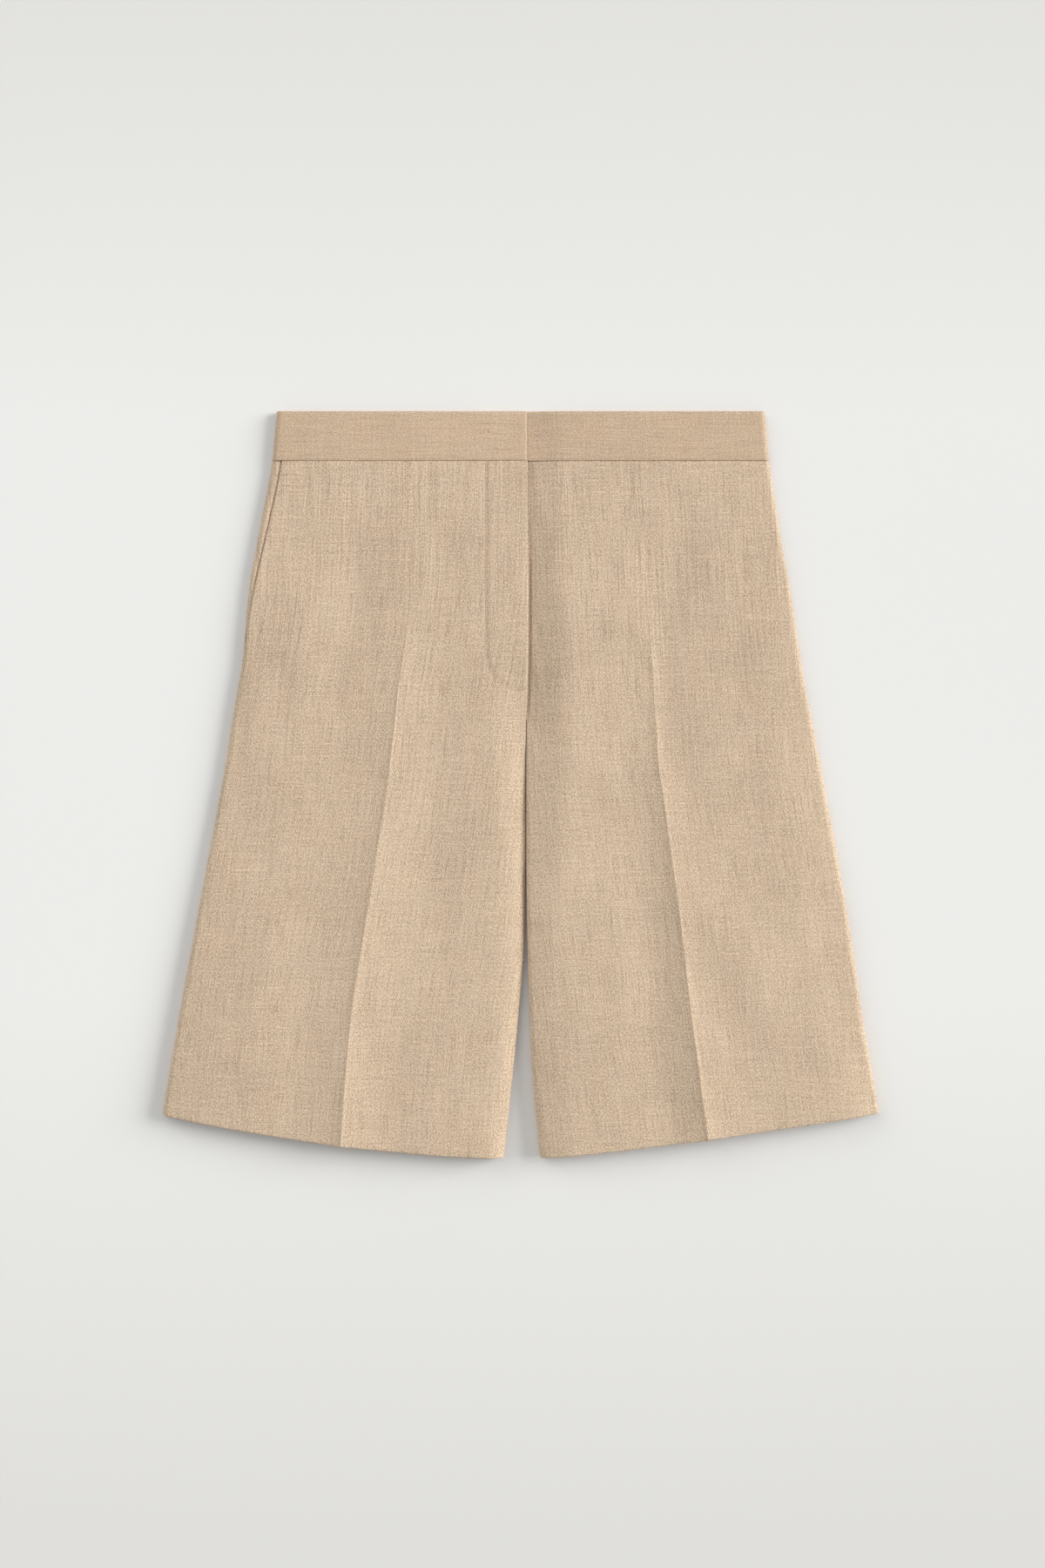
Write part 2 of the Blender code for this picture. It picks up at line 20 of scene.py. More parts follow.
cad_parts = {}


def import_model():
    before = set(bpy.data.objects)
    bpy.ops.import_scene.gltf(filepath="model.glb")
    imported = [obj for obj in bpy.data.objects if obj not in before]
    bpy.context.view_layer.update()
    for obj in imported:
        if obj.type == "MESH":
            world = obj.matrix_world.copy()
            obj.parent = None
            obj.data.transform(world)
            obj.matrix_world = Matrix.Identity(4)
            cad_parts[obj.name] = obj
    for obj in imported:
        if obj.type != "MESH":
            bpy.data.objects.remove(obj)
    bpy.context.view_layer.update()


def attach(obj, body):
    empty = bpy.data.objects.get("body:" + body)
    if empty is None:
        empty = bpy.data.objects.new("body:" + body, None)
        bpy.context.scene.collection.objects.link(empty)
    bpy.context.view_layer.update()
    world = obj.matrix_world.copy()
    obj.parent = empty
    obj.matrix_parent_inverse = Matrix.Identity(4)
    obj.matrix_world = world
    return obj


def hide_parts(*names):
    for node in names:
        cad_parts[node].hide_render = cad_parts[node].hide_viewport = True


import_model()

MM = 0.001

# A stretch in which something rises from nothing to its full size
Run = namedtuple("Run", "start length")

# Unevenness of the cloth: the size of its patches across and down, its height, and its seed
Ripple = namedtuple("Ripple", "wide long height seed")

# Cloth
CLOTH = 1.0
BAND_CLOTH = 1.9
SEAM_GAP = 0.3
LAYER = CLOTH + SEAM_GAP

# Main sizes
LENGTH = 564.0
BAND_DEPTH = 37.5
BAND_GAP = 0.08
PANEL_TOP = BAND_DEPTH + BAND_GAP
INSEAM_START = Run(338.0, 14.0)
TURN_UP = 38.0
FOLD_RADIUS = (2 * CLOTH + SEAM_GAP) / 2
HEM_EASE = 4.0

# The side edges' roll, and the slopes from the rolled edges up to the level top of a leg
SIDE_ROLL = 4.0
SIDE_SLOPE_POWER = 1.6
STEEPER = Run(214.0, 60.0)
CREASE_REACH = 46.0

# Fly: its sewn line runs straight down and then round in a J to the edge.
FLY_END = 214.0
FACING_TURN = 178.0
FACING_WIDTH = 31.0
FACING_PAST_CENTRE = 1.4
SHIELD_START = 1.0
SHIELD_WIDTH = 37.0
SHIELD_ROUND = 16.0
SHIELD_CORNER = 0.98
ZIP_WIDTH = 20.0
ZIP_END = 205.0
LAP = 6.0
J_ACROSS = 30.3
J_TURN = 172.0
J_END = 211.0
J_POWER = 2.7
FOLDED_EDGE = 1.2

# The fly's relief: its layers lift the right front's edge, the sewn line lies in a puckered
# furrow with a step inside it, and the left front dips beside the lap.
FLY_LIFT = 1.8
FLY_LIFT_END = Run(FLY_END - 26, 34)
J_STEP = 0.45
J_STEP_RUN = Run(-3.2, 3.2)
J_FURROW = 0.3
J_FURROW_WIDTH = 1.2
J_PUCKER = Ripple(3.0, 3.4, 0.5, 5.0)
J_PUCKER_MEAN = 0.75
FLY_DIP = 0.9
FLY_DIP_PLACE = 0.9
FLY_DIP_WIDTH = 0.9
FLY_DIP_START = Run(80.0, 60.0)
FLY_DIP_END = Run(FLY_END + 8, 20)

# The furrow of the waistband's seam, the pucker under it, and the waistband's own unevenness
SEAM_DIP = 0.3
SEAM_DIP_REACH = 1.6
SEAM_PUCKER = Ripple(4.5, 30.0, 0.32, 11.0)
SEAM_PUCKER_REACH = 5.0
BAND_RIPPLE = Ripple(46, 60, 0.3, 2.4)
BAND_RIPPLE_RUN = Run(4, 20)

# Pockets
MOUTH_INSET = 7.5
MOUTH_END = 186.0
SIDE_PIECE_TUCK = 28.7
SIDE_PIECE_END = MOUTH_END - 2.0
POCKET_RISE = 0.9
POCKET_RISE_RUN = Run(0.4, 1.8)
POCKET_RISE_END = Run(0.0, 40.0)
BAG_BOTTOM = 288.0
BAG_ROUND = 34.0
BAG_ROUND_POWER = 3
BAG_FROM_CREASE = 7.0
BAG_FROM_MOUTH = 29.1
BAG_FROM_SEAM = 15.4

# The backs lie on the ground. They lift in folds and beside the pressed crease, but not near
# their edges or under the fly's shield.
BACK_FROM_SIDE = Run(8, 24)
BACK_FROM_INNER = Run(6, 24)
SHIELD_SIDE = Run(44, 24)
SHIELD_BELOW = Run(FLY_END + 8, 40)
BACK_CREASE_LIFT = 0.4
BACK_CREASE_AWAY = 9.0
BACK_CREASE_WIDTH = 7.0
BACK_CREASE_RUN = Run(120, 90)

# How finely the sheets are divided. An edge's thickness is rounded within RIM_REACH, and its
# roll is over within ROLL_ARC along the cloth.
RIM_REACH = 0.5
RIM_TURNS = np.radians([0, 30, 60, 90])
RIM_ARCS = RIM_REACH * (1 - np.cos(RIM_TURNS))
RIM_WEIGHTS = np.sin(RIM_TURNS)
ROLL_ARC = 11.0
ROLL_STEPS = 13
ROLL_ARCS = np.concatenate([RIM_ARCS, np.linspace(RIM_ARCS[-1], ROLL_ARC, ROLL_STEPS)[1:]])
INSET_STEPS = 30
FOLD_STEPS = 8
MARK_STEP = 1.0
ROW_PASSES = 4
FRONT_ROW_STEP = 2.25
BACK_ROW_STEP = 4.6
TURN_UP_COARSER = 1.5

# A front's columns: how many lie over the fly's strip, then up to the crease and past it
FRONT_COLUMNS = (40, 34, 50)
FLY_STRIP = 36.0
CREASE_COLUMNS = np.array(
    [-6, -4.4, -3.2, -2.2, -1.4, -0.8, -0.3, 0, 0.3, 0.8, 1.4, 2.2, 3.2, 4.4, 6]
)
BACK_COLUMNS = 46

Grid = namedtuple("Grid", "rows columns")
BAND_GRID = Grid(14, 90)
BACK_BAND_GRID = Grid(8, 50)
SIDE_PIECE_GRID = Grid(50, 22)

# One row for each level of the garment's right and left half:
#   down    distance below the waist's top edge
#   outer   centre front to side seam
#   inner   centre front to the half's inner edge, below zero where it laps past the centre
#   top     height of the level part of the front
#   centre  height of the front beside its inner edge
#   seam    height of the front at its very edge, where it has rolled down to the seam
#   roll    how wide that roll is
#   slope   how far the front takes to rise from centre to top
#   edge    half the height of the rolled side edge
#   crease  centre front to the pressed crease
#   ridge   how far the crease stands up
Level = namedtuple("Level", "down outer inner top centre seam roll slope edge crease ridge")

RIGHT_LEVELS = (
    Level(0, 188.5, -1.4, 7, 6.4, 6.4, 3.1, 30, 3.3, 84, 0),
    Level(38, 192.1, -1.4, 7, 6.2, 6.2, 3.1, 30, 3.3, 84, 0),
    Level(84, 200.6, -1.6, 7.6, 6.2, 6.2, 3.1, 30, 3.4, 85, 0),
    Level(137, 209.9, -1.8, 8.2, 6.2, 6.2, 3.1, 30, 3.5, 87, 0.2),
    Level(189, 214.5, -1.4, 8.8, 6.2, 6.2, 3.1, 30, 3.6, 93, 0.8),
    Level(214, 218.8, -0.8, 9.1, 6.2, 6.2, 3.1, 30, 3.6, 97, 1.2),
    Level(236, 222.6, 0.15, 9.4, 4.6, 4.6, 2.4, 28, 3.6, 99, 1.6),
    Level(262, 226.5, 0.15, 9.7, 3.6, 3.6, 2.4, 26, 3.6, 102, 2),
    Level(295, 232.3, 0.15, 10.2, 3.5, 3.5, 3, 24, 3.7, 106, 2.4),
    Level(338, 240.4, 0.15, 11, 4, 4, 6, 22, 3.9, 113, 2.9),
    Level(352, 242.9, 0.3, 11.4, 5, 2.65, 8, 24, 4, 115, 3.1),
    Level(401, 252.1, 1, 12.6, 7, 3.65, 11, 26, 4.3, 123, 3.5),
    Level(453, 261.4, 5.3, 13.8, 9, 4.65, 12, 22, 4.6, 131, 4),
    Level(506, 270.6, 10.6, 14.8, 10.6, 5.45, 13, 22, 4.9, 136, 4.4),
    Level(564, 279.3, 16.8, 15.8, 12, 6.15, 14, 22, 5.2, 140, 4.8),
)
LEFT_LEVELS = (
    Level(0, 180.5, -6, 7, 4.1, 4.1, 1.8, 30, 3.3, 88, 0),
    Level(38, 184.1, -6, 7, 3.6, 3.6, 1.8, 30, 3.3, 88, 0),
    Level(84, 190.7, -6, 7.6, 3.6, 3.6, 1.8, 32, 3.4, 90, 0),
    Level(137, 200, -6, 8.2, 3.6, 3.6, 1.8, 34, 3.5, 92, 0.2),
    Level(189, 207.9, -6, 8.8, 3.6, 3.6, 1.8, 34, 3.6, 95, 0.8),
    Level(214, 212.3, -5, 9.1, 3.6, 3.6, 1.8, 34, 3.6, 96.5, 1.2),
    Level(236, 216.6, 0.15, 9.4, 3.6, 3.6, 1.8, 34, 3.6, 98, 1.5),
    Level(262, 221.5, 0.15, 9.7, 5.2, 3.4, 2, 34, 3.6, 99.5, 1.9),
    Level(295, 227.7, 0.15, 10.2, 6.5, 3.4, 2.4, 34, 3.7, 104, 2.3),
    Level(338, 235.8, 0.15, 11, 7.7, 3.4, 2.6, 34, 3.9, 110, 2.8),
    Level(352, 238.1, 0.3, 11.4, 8.2, 4.65, 2.6, 34, 4, 112, 3),
    Level(401, 246.2, 1, 12.6, 8.9, 5.35, 2.8, 34, 4.3, 118, 3.5),
    Level(453, 253.4, 2.6, 13.8, 9.8, 5.85, 3.2, 38, 4.6, 124, 4),
    Level(506, 262.7, 5.3, 14.8, 9.8, 6.25, 4, 34, 4.9, 131, 4.4),
    Level(564, 272, 10.6, 15.8, 10.2, 6.55, 5, 30, 5.2, 139, 4.8),
)

# Each half: the sign of X on its side, how much higher its hem is at the side seam than at
# the inseam, how late that rise comes, how far its pocket's mouth lies inside the side seam
# at the top, and how wide the slope is from its side edge up to the level top.
Half = namedtuple("Half", "name sign levels hem_rise hem_power mouth_inset side_slope")
RIGHT = Half("right", -1, RIGHT_LEVELS, 32.3, 1.6, MOUTH_INSET, 60.0)
LEFT = Half("left", 1, LEFT_LEVELS, 34.0, 1.2, 0.0, 38.0)
HALVES = (RIGHT, LEFT)

# Soft folds of the fronts. A fold runs from its start to its end, bowed sideways in the
# middle, and stands up (or, below zero, sinks) by its height. It fades out over a share of
# its length at each end. The large ones are in the CAD solids too.
FOLD_FADE = 0.3
Fold = namedtuple("Fold", "half across down end_across end_down bow width height")
FRONT_FOLDS = (
    Fold(RIGHT, 74, 216, 66, 447, 0, 22, -1.7),
    Fold(RIGHT, 156, 110, 190, 345, 6, 22, 1.3),
    Fold(RIGHT, 104, 450, 96, 640, 0, 18, -1.3),
    Fold(RIGHT, 132, 44, 122, 178, 3, 14, -0.9),
    Fold(RIGHT, 197, 182, 207, 268, 0, 9, 0.8),
    Fold(RIGHT, 143, 172, 150, 240, 0, 13, -0.7),
    Fold(RIGHT, 60, 60, 56, 200, -4, 13, -0.6),
    Fold(RIGHT, 186, 360, 214, 520, 5, 16, 0.8),
    Fold(RIGHT, 160, 400, 170, 545, 3, 12, -0.6),
    Fold(LEFT, 26, 50, 32, 380, 0, 16, 1.0),
    Fold(LEFT, 134, 60, 138, 335, -34, 17, -2.3),
    Fold(LEFT, 134, 345, 196, 490, 0, 19, 1.5),
    Fold(LEFT, 234, 320, 259, 520, 0, 11, 1.0),
    Fold(LEFT, 238, 470, 252, 600, 0, 14, 0.8),
    Fold(LEFT, 80, 140, 106, 600, 0, 20, -2.0),
    Fold(LEFT, 84, 70, 92, 160, 4, 11, -0.7),
    Fold(LEFT, 66, 400, 92, 530, 4, 15, 0.7),
)
# The same on the backs, where every fold lifts the cloth off the ground a little
BACK_FOLDS = (
    Fold(RIGHT, 70, 250, 84, 470, 6, 16, 0.7),
    Fold(RIGHT, 150, 90, 176, 300, -6, 18, 0.6),
    Fold(RIGHT, 190, 330, 226, 520, 5, 15, 0.8),
    Fold(RIGHT, 128, 420, 120, 560, 0, 12, 0.5),
    Fold(LEFT, 62, 240, 70, 440, -5, 15, 0.6),
    Fold(LEFT, 140, 120, 170, 330, 7, 17, 0.8),
    Fold(LEFT, 180, 380, 214, 530, 4, 14, 0.6),
    Fold(LEFT, 96, 430, 110, 560, 0, 12, 0.6),
)

# The fronts' small unevenness, and how far from their side and inner edges it sets in
RIPPLES = (
    Ripple(34, 95, 0.34, 3.1),
    Ripple(13, 38, 0.12, 8.7),
)
RIPPLE_FROM_SIDE = Run(0, 16)
RIPPLE_FROM_INNER = Run(2, 22)

# The sharp crest of the pressed creases
PRESS_HEIGHT = 0.9
PRESS_REACH = 2.8
PRESS_RUN = Run(150.0, 45.0)


# ---------------------------------------- reading the tables

def through(xs, ys, x):
    """Reads a smooth curve through the points xs, ys. It never swings past them."""
    xs = np.asarray(xs, float)
    ys = np.asarray(ys, float)
    x = np.clip(x, xs[0], xs[-1])
    step = np.diff(xs)
    secant = np.diff(ys) / step
    before, after = secant[:-1], secant[1:]
    slope = np.zeros(len(xs))
    same_way = before * after > 0
    total = np.where(same_way, before + after, 1.0)
    slope[1:-1] = np.where(same_way, 2 * before * after / total, 0.0)
    slope[0], slope[-1] = secant[0], secant[-1]
    i = np.clip(np.searchsorted(xs, x, side="right") - 1, 0, len(step) - 1)
    s = (x - xs[i]) / step[i]
    return (
        ys[i] * (1 + 2 * s) * (1 - s) ** 2
        + ys[i + 1] * s * s * (3 - 2 * s)
        + step[i] * (slope[i] * s * (1 - s) ** 2 - slope[i + 1] * s * s * (1 - s))
    )


def level(half, column, down):
    """A column of the half's table of levels, read at a distance down."""
    downs = [row.down for row in half.levels]
    values = [getattr(row, column) for row in half.levels]
    return through(downs, values, down)


def ease(x):
    """Rises smoothly from 0 to 1 as x does."""
    x = np.clip(x, 0.0, 1.0)
    return x * x * (3 - 2 * x)


def rising(x, run):
    """Rises smoothly from 0 to 1 while x goes through a run."""
    return ease((x - run.start) / run.length)


def rippled(ripple, across, down, seed=0):
    """Smooth noise up to a ripple's height, in patches about its wide by its long."""
    across, down = np.broadcast_arrays(across, down)
    seed = ripple.seed + seed
    places = zip((across / ripple.wide).ravel(), (down / ripple.long).ravel())
    values = [noise.noise(Vector((x, y, seed))) for x, y in places]
    return ripple.height * np.array(values).reshape(across.shape)


# ---------------------------------------- the cloth's form

def folds(table, half, across, down):
    """The height that a table of soft folds adds."""
    height = np.zeros(np.broadcast(across, down).shape)
    for fold in table:
        if fold.half is not half:
            continue
        run = np.array([fold.end_across - fold.across, fold.end_down - fold.down], float)
        length = np.hypot(*run)
        run = run / length
        along = ((across - fold.across) * run[0] + (down - fold.down) * run[1]) / length
        aside = (across - fold.across) * run[1] - (down - fold.down) * run[0]
        inside = np.clip(along, 0.0, 1.0)
        aside = aside - fold.bow * 4 * inside * (1 - inside)
        fade = ease(along / FOLD_FADE) * ease((1 - along) / FOLD_FADE)
        height = height + fold.height * fade * np.exp(-((aside / fold.width) ** 2))
    return height


def below_top(half, across, down):
    """How far the slope behind the inner edge lies below the top, from 1 at the edge to 0.

    Beside the fly it starts level. Below, it is steepest at the edge.
    """
    from_centre = across - np.maximum(level(half, "inner", down), 0.0)
    share = np.clip(from_centre / level(half, "slope", down), 0.0, 1.0)
    level_start = 1 - rising(down, STEEPER)
    return (1 - share) ** 2 * (1 + 2 * share * level_start)


def ripples(half, across, down):
    """The cloth's small unevenness, which dies out at its edges and over the fly."""
    to_side = level(half, "outer", down) - across
    from_centre = across - np.maximum(level(half, "inner", down), 0.0)
    fade = rising(to_side, RIPPLE_FROM_SIDE) * rising(from_centre, RIPPLE_FROM_INNER)
    return fade * sum(rippled(ripple, across, down, half.sign) for ripple in RIPPLES)


def pressed_line(half, across, down):
    """The sharp crest of the pressed crease."""
    off = np.abs(across - level(half, "crease", down))
    return PRESS_HEIGHT * rising(down, PRESS_RUN) * np.exp(-off / PRESS_REACH)


def outside_j(across, down):
    """About how far a place lies outside the fly's sewn line, below zero inside it."""
    sideways = np.maximum(across, 0.0) / J_ACROSS
    below = np.maximum(down - J_TURN, 0.0) / (J_END - J_TURN)
    ratio = (sideways**J_POWER + below**J_POWER) ** (1 / J_POWER)
    return (ratio - 1) * J_ACROSS


def rolled_away(from_edge, width):
    """How far an edge's roll has come at a point: 1 at the edge, 0 behind the roll."""
    cosine = 1 - np.clip(from_edge / width, 0.0, 1.0)
    return 1 - np.sqrt(1 - cosine**2)


def folded_edge(across, down):
    """How much the rounding of the right half's folded edge takes off."""
    return FOLDED_EDGE * rolled_away(across - level(RIGHT, "inner", down), FOLDED_EDGE)


def fly_form(half, across, down):
    """The fly's layers lift its edge, and the sewn line pulls in a narrow furrow."""
    if half is LEFT:
        beside = across + level(RIGHT, "inner", down) - FLY_DIP_PLACE
        fade = rising(down, FLY_DIP_START) * (1 - rising(down, FLY_DIP_END))
        return -FLY_DIP * fade * np.exp(-((beside / FLY_DIP_WIDTH) ** 2))
    off = outside_j(across, down)
    fade = 1 - rising(down, FLY_LIFT_END)
    lift = FLY_LIFT * (1 - ease(across / J_ACROSS)) * fade
    inside = J_STEP * (1 - rising(off, J_STEP_RUN))
    pucker = J_PUCKER_MEAN + rippled(J_PUCKER, across, down)
    furrow = -J_FURROW * pucker * np.exp(-((off / J_FURROW_WIDTH) ** 2))
    return lift + inside + furrow - folded_edge(across, down) * fade


def waist_seam(across, down):
    """The panels dip into the waistband's seam and pucker a little under it."""
    below = np.maximum(down - PANEL_TOP, 0.0)
    pucker = rippled(SEAM_PUCKER, across, down) * np.exp(-below / SEAM_PUCKER_REACH)
    return pucker - SEAM_DIP * np.exp(-below / SEAM_DIP_REACH)


def unrolled_front(half, across, down):
    """The height of a front's outer face before its edges are rolled under."""
    top = level(half, "top", down)
    to_side = np.clip((level(half, "outer", down) - across) / half.side_slope, 0.0, 1.0)
    off_crease = np.abs(across - level(half, "crease", down)) / CREASE_REACH

    height = top - (top - 2 * level(half, "edge", down)) * (1 - to_side) ** SIDE_SLOPE_POWER
    height = height - (top - level(half, "centre", down)) * below_top(half, across, down)
    height = height + level(half, "ridge", down) * np.clip(1 - off_crease, 0.0, 1.0) ** 2
    height = height + folds(FRONT_FOLDS, half, across, down)
    height = height + pressed_line(half, across, down) + fly_form(half, across, down)
    return height + waist_seam(across, down) + ripples(half, across, down)


def side_share(half, across, down):
    """The share of the side edge's roll at a point."""
    return rolled_away(level(half, "outer", down) - across, SIDE_ROLL)


def side_reach(half, down):
    """How far the side edge's roll goes up or down, to a seam at half height."""
    return level(half, "edge", down) - SEAM_GAP / 2


def side_roll(half, across, down):
    """How far the side edge has rolled up or down at a point."""
    return side_reach(half, down) * side_share(half, across, down)


def inner_share(half, across, down):
    """The share of the inner edge's roll at a point."""
    from_inner = across - np.maximum(level(half, "inner", down), SEAM_GAP / 2)
    return rolled_away(from_inner, level(half, "roll", down))


def front_reach(half, down):
    """How far a front's inner edge rolls down to its seam."""
    return level(half, "centre", down) - level(half, "seam", down)


def back_reach(half, down):
    """How far a back's inner edge rolls up to the inseam, which starts at the crotch."""
    return rising(down, INSEAM_START) * (level(half, "seam", down) - SEAM_GAP)


def front_height(half, across, down):
    """The height of a front's outer face."""
    inner = front_reach(half, down) * inner_share(half, across, down)
    return unrolled_front(half, across, down) - side_roll(half, across, down) - inner


def back_height(half, across, down):
    """The height of a back's outer face: on the ground, but for its lifts and its edges."""
    to_side = level(half, "outer", down) - across
    from_inner = across - np.maximum(level(half, "inner", down), 0.0)
    fade = rising(to_side, BACK_FROM_SIDE) * rising(from_inner, BACK_FROM_INNER)
    under_shield = (1 - rising(across, SHIELD_SIDE)) * (1 - rising(down, SHIELD_BELOW))
    aside = np.abs(across - level(half, "crease", down)) - BACK_CREASE_AWAY
    beside_crease = BACK_CREASE_LIFT * np.exp(-((aside / BACK_CREASE_WIDTH) ** 2))
    beside_crease = beside_crease * rising(down, BACK_CREASE_RUN)
    lift = np.maximum(folds(BACK_FOLDS, half, across, down) + beside_crease, 0.0)
    inner = back_reach(half, down) * inner_share(half, across, down)
    return side_roll(half, across, down) + inner + lift * fade * (1 - under_shield)


def front_band_height(half, across, down):
    """The height of a front waistband's outer face."""
    centre, top = level(half, "centre", 0), level(half, "top", 0)
    height = centre + (top - centre) * ease(across / level(half, "slope", 0))
    height = height + rippled(BAND_RIPPLE, across, down) * rising(across, BAND_RIPPLE_RUN)
    if half is RIGHT:
        height = height - folded_edge(across, 0)
    drop = height - level(half, "edge", down) - SEAM_GAP / 2
    return height - drop * side_share(half, across, down)


# ---------------------------------------- where the points lie

def inset(arcs, width, reach):
    """How far in from an edge, which rolls by its reach, the points at these arcs lie."""
    turn = np.linspace(0, math.pi / 2, INSET_STEPS)
    inwards, rise = width * (1 - np.cos(turn)), reach * np.sin(turn)
    along = np.concatenate([[0], np.cumsum(np.hypot(np.diff(inwards), np.diff(rise)))])
    return np.interp(arcs, along, inwards) + np.maximum(arcs - along[-1], 0.0)


def spread(start, end, count):
    """Evenly spaced values between start and end, leaving both out."""
    shares = np.arange(1, count + 1) / (count + 1)
    return start + (end - start) * shares


def mouth_inset(half, down):
    """How far inside the side seam the front stops, along the pocket's mouth."""
    share = np.clip((down - BAND_DEPTH) / (MOUTH_END - BAND_DEPTH), 0.0, 1.0)
    return half.mouth_inset * (1 - share**2)


def front_line(half, down):
    """The across distances of a front's columns at one level, inner edge to side seam.

    They lie closest over the fly and beside the pressed crease.
    """
    over_fly, before, after = FRONT_COLUMNS
    inner = level(half, "inner", down)
    crease = float(level(half, "crease", down)) + CREASE_COLUMNS
    inside = mouth_inset(half, down)
    reach = np.clip(1 - inside / SIDE_ROLL, 0.0, 1.0) * side_reach(half, down)
    at_inner = inner + inset(ROLL_ARCS, level(half, "roll", down), front_reach(half, down))
    at_side = level(half, "outer", down) - inside - inset(ROLL_ARCS, SIDE_ROLL, reach)[::-1]
    return np.concatenate([
        at_inner,
        spread(at_inner[-1], inner + FLY_STRIP, over_fly),
        spread(inner + FLY_STRIP, crease[0], before),
        crease,
        spread(crease[-1], at_side[0], after),
        at_side,
    ])


def back_line(half, down):
    """The across distances of a back's columns at one level, inner edge to side seam."""
    inner = np.maximum(level(half, "inner", down), SEAM_GAP / 2)
    at_inner = inner + inset(ROLL_ARCS, level(half, "roll", down), back_reach(half, down))
    rolled = inset(ROLL_ARCS, SIDE_ROLL, side_reach(half, down))[::-1]
    at_side = level(half, "outer", down) - rolled
    return np.concatenate([at_inner, spread(at_inner[-1], at_side[0], BACK_COLUMNS), at_side])


def bent_rows(half, line, nominal):
    """The across and down distances of a panel's points, its rows bent like the hem."""
    marks = np.arange(0, LENGTH + MARK_STEP, MARK_STEP)
    lines = np.array([line(half, mark) for mark in marks])
    shares = (lines - lines[:, :1]) / (lines[:, -1:] - lines[:, :1])
    bend = half.hem_rise * (nominal / LENGTH) ** HEM_EASE
    across = np.zeros((len(nominal), lines.shape[1]))
    down = np.zeros_like(across)
    for column in range(lines.shape[1]):
        here = nominal
        for _ in range(ROW_PASSES):
            share = np.interp(here, marks, shares[:, column])
            here = nominal - bend * share**half.hem_power
        across[:, column] = np.interp(here, marks, lines[:, column])
        down[:, column] = here
    return across, down


def normals(points, up):
    """The direction out of a grid's face, up where up is 1 and down where it is -1."""
    normal = np.cross(np.gradient(points, axis=1), np.gradient(points, axis=0))
    normal = normal / np.linalg.norm(normal, axis=-1, keepdims=True)
    lean = normal[: len(normal) // 3, points.shape[1] // 2, 2].sum()
    return normal if lean * up > 0 else -normal


# The X that the middle of the outline has before it is moved to zero
REACHES = [float(level(half, "outer", LENGTH - half.hem_rise)) for half in HALVES]
CENTRE = (REACHES[1] - REACHES[0]) / 2


def world(half, across, down, height):
    """Points in the frame's own directions, in millimetres."""
    across, down, height = np.broadcast_arrays(across, down, height)
    return np.stack([half.sign * across - CENTRE, LENGTH / 2 - down, height], axis=-1)


def face_points(surface, half, across, down, sunk, up):
    """Points of a face of the garment, moved in by sunk."""
    points = world(half, across, down, surface(half, across, down))
    return points - sunk * normals(points, up)


# ---------------------------------------- meshes

Sheet = namedtuple("Sheet", "middle uv up")

# Where in the weave, in metres, the cloth of the left half and of the waistbands starts, so
# that no two pieces show the same stretch of it
LEFT_PLACE = 3.17
BAND_PLACE = 1.3
BACK_BAND_PLACE = 5.0


def weave_place(half, across, down):
    """Where a point lies in its cloth, in metres, along the crease's grain."""
    along = across - level(half, "crease", down)
    apart = LEFT_PLACE if half is LEFT else 0.0
    return np.stack([along * MM + apart, down * MM], axis=-1)


def faces_of_grid(index):
    """The four-sided faces between the points of a grid of vertex numbers."""
    corners = [index[:-1, :-1], index[:-1, 1:], index[1:, 1:], index[1:, :-1]]
    return np.stack(corners, axis=-1).reshape(-1, 4)


def finish_piece(piece, nodes=()):
    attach(piece, "root")
    if nodes:
        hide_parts(*nodes)


def add_object(name, data):
    """An object in the scene, from its data."""
    made = bpy.data.objects.new(name, data)
    bpy.context.scene.collection.objects.link(made)
    return made


def add_mesh(name, vertices, faces, material, uv=None):
    """An object from points in millimetres and lists of faces."""
    mesh = bpy.data.meshes.new(name)
    mesh.from_pydata((vertices * MM).tolist(), [], faces.tolist())
    if uv is not None:
        layer = mesh.uv_layers.new(name="weave")
        corner = np.zeros(len(mesh.loops), int)
        mesh.loops.foreach_get("vertex_index", corner)
        layer.uv.foreach_set("vector", uv[corner].astype(np.float32).ravel())
    mesh.materials.append(material)
    mesh.shade_smooth()
    return add_object(name, mesh)


def cloth(name, sheet, thickness, material):
    """A closed shell on both sides of a sheet's middle, its rims rounded."""
    rows, columns = sheet.middle.shape[:2]
    full = np.ones((rows, columns))
    for k, weight in enumerate(RIM_WEIGHTS):
        full[[k, -1 - k], :] *= weight
        full[:, [k, -1 - k]] *= weight
    lift = thickness / 2 * full[..., None] * normals(sheet.middle, sheet.up)

    outer = np.arange(rows * columns).reshape(rows, columns)
    inner = outer.copy()
    body = (slice(1, -1), slice(1, -1))
    inner[body] = rows * columns + np.arange((rows - 2) * (columns - 2)).reshape(rows - 2, -1)
    inside = (sheet.middle - lift)[body].reshape(-1, 3)
    vertices = np.concatenate([(sheet.middle + lift).reshape(-1, 3), inside])
    uv = np.concatenate([sheet.uv.reshape(-1, 2), sheet.uv[body].reshape(-1, 2)])

    seen = faces_of_grid(outer)
    first = np.cross(
        vertices[seen[:, 1]] - vertices[seen[:, 0]], vertices[seen[:, 2]] - vertices[seen[:, 0]]
    )
    outwards = (first * lift.reshape(-1, 3)[seen[:, 0]]).sum() > 0
    hidden = faces_of_grid(inner)
    if outwards:
        hidden = hidden[:, ::-1]
    else:
        seen = seen[:, ::-1]
    return add_mesh(name, vertices, np.concatenate([seen, hidden]), material, uv)


# ---------------------------------------- the pieces' sheets

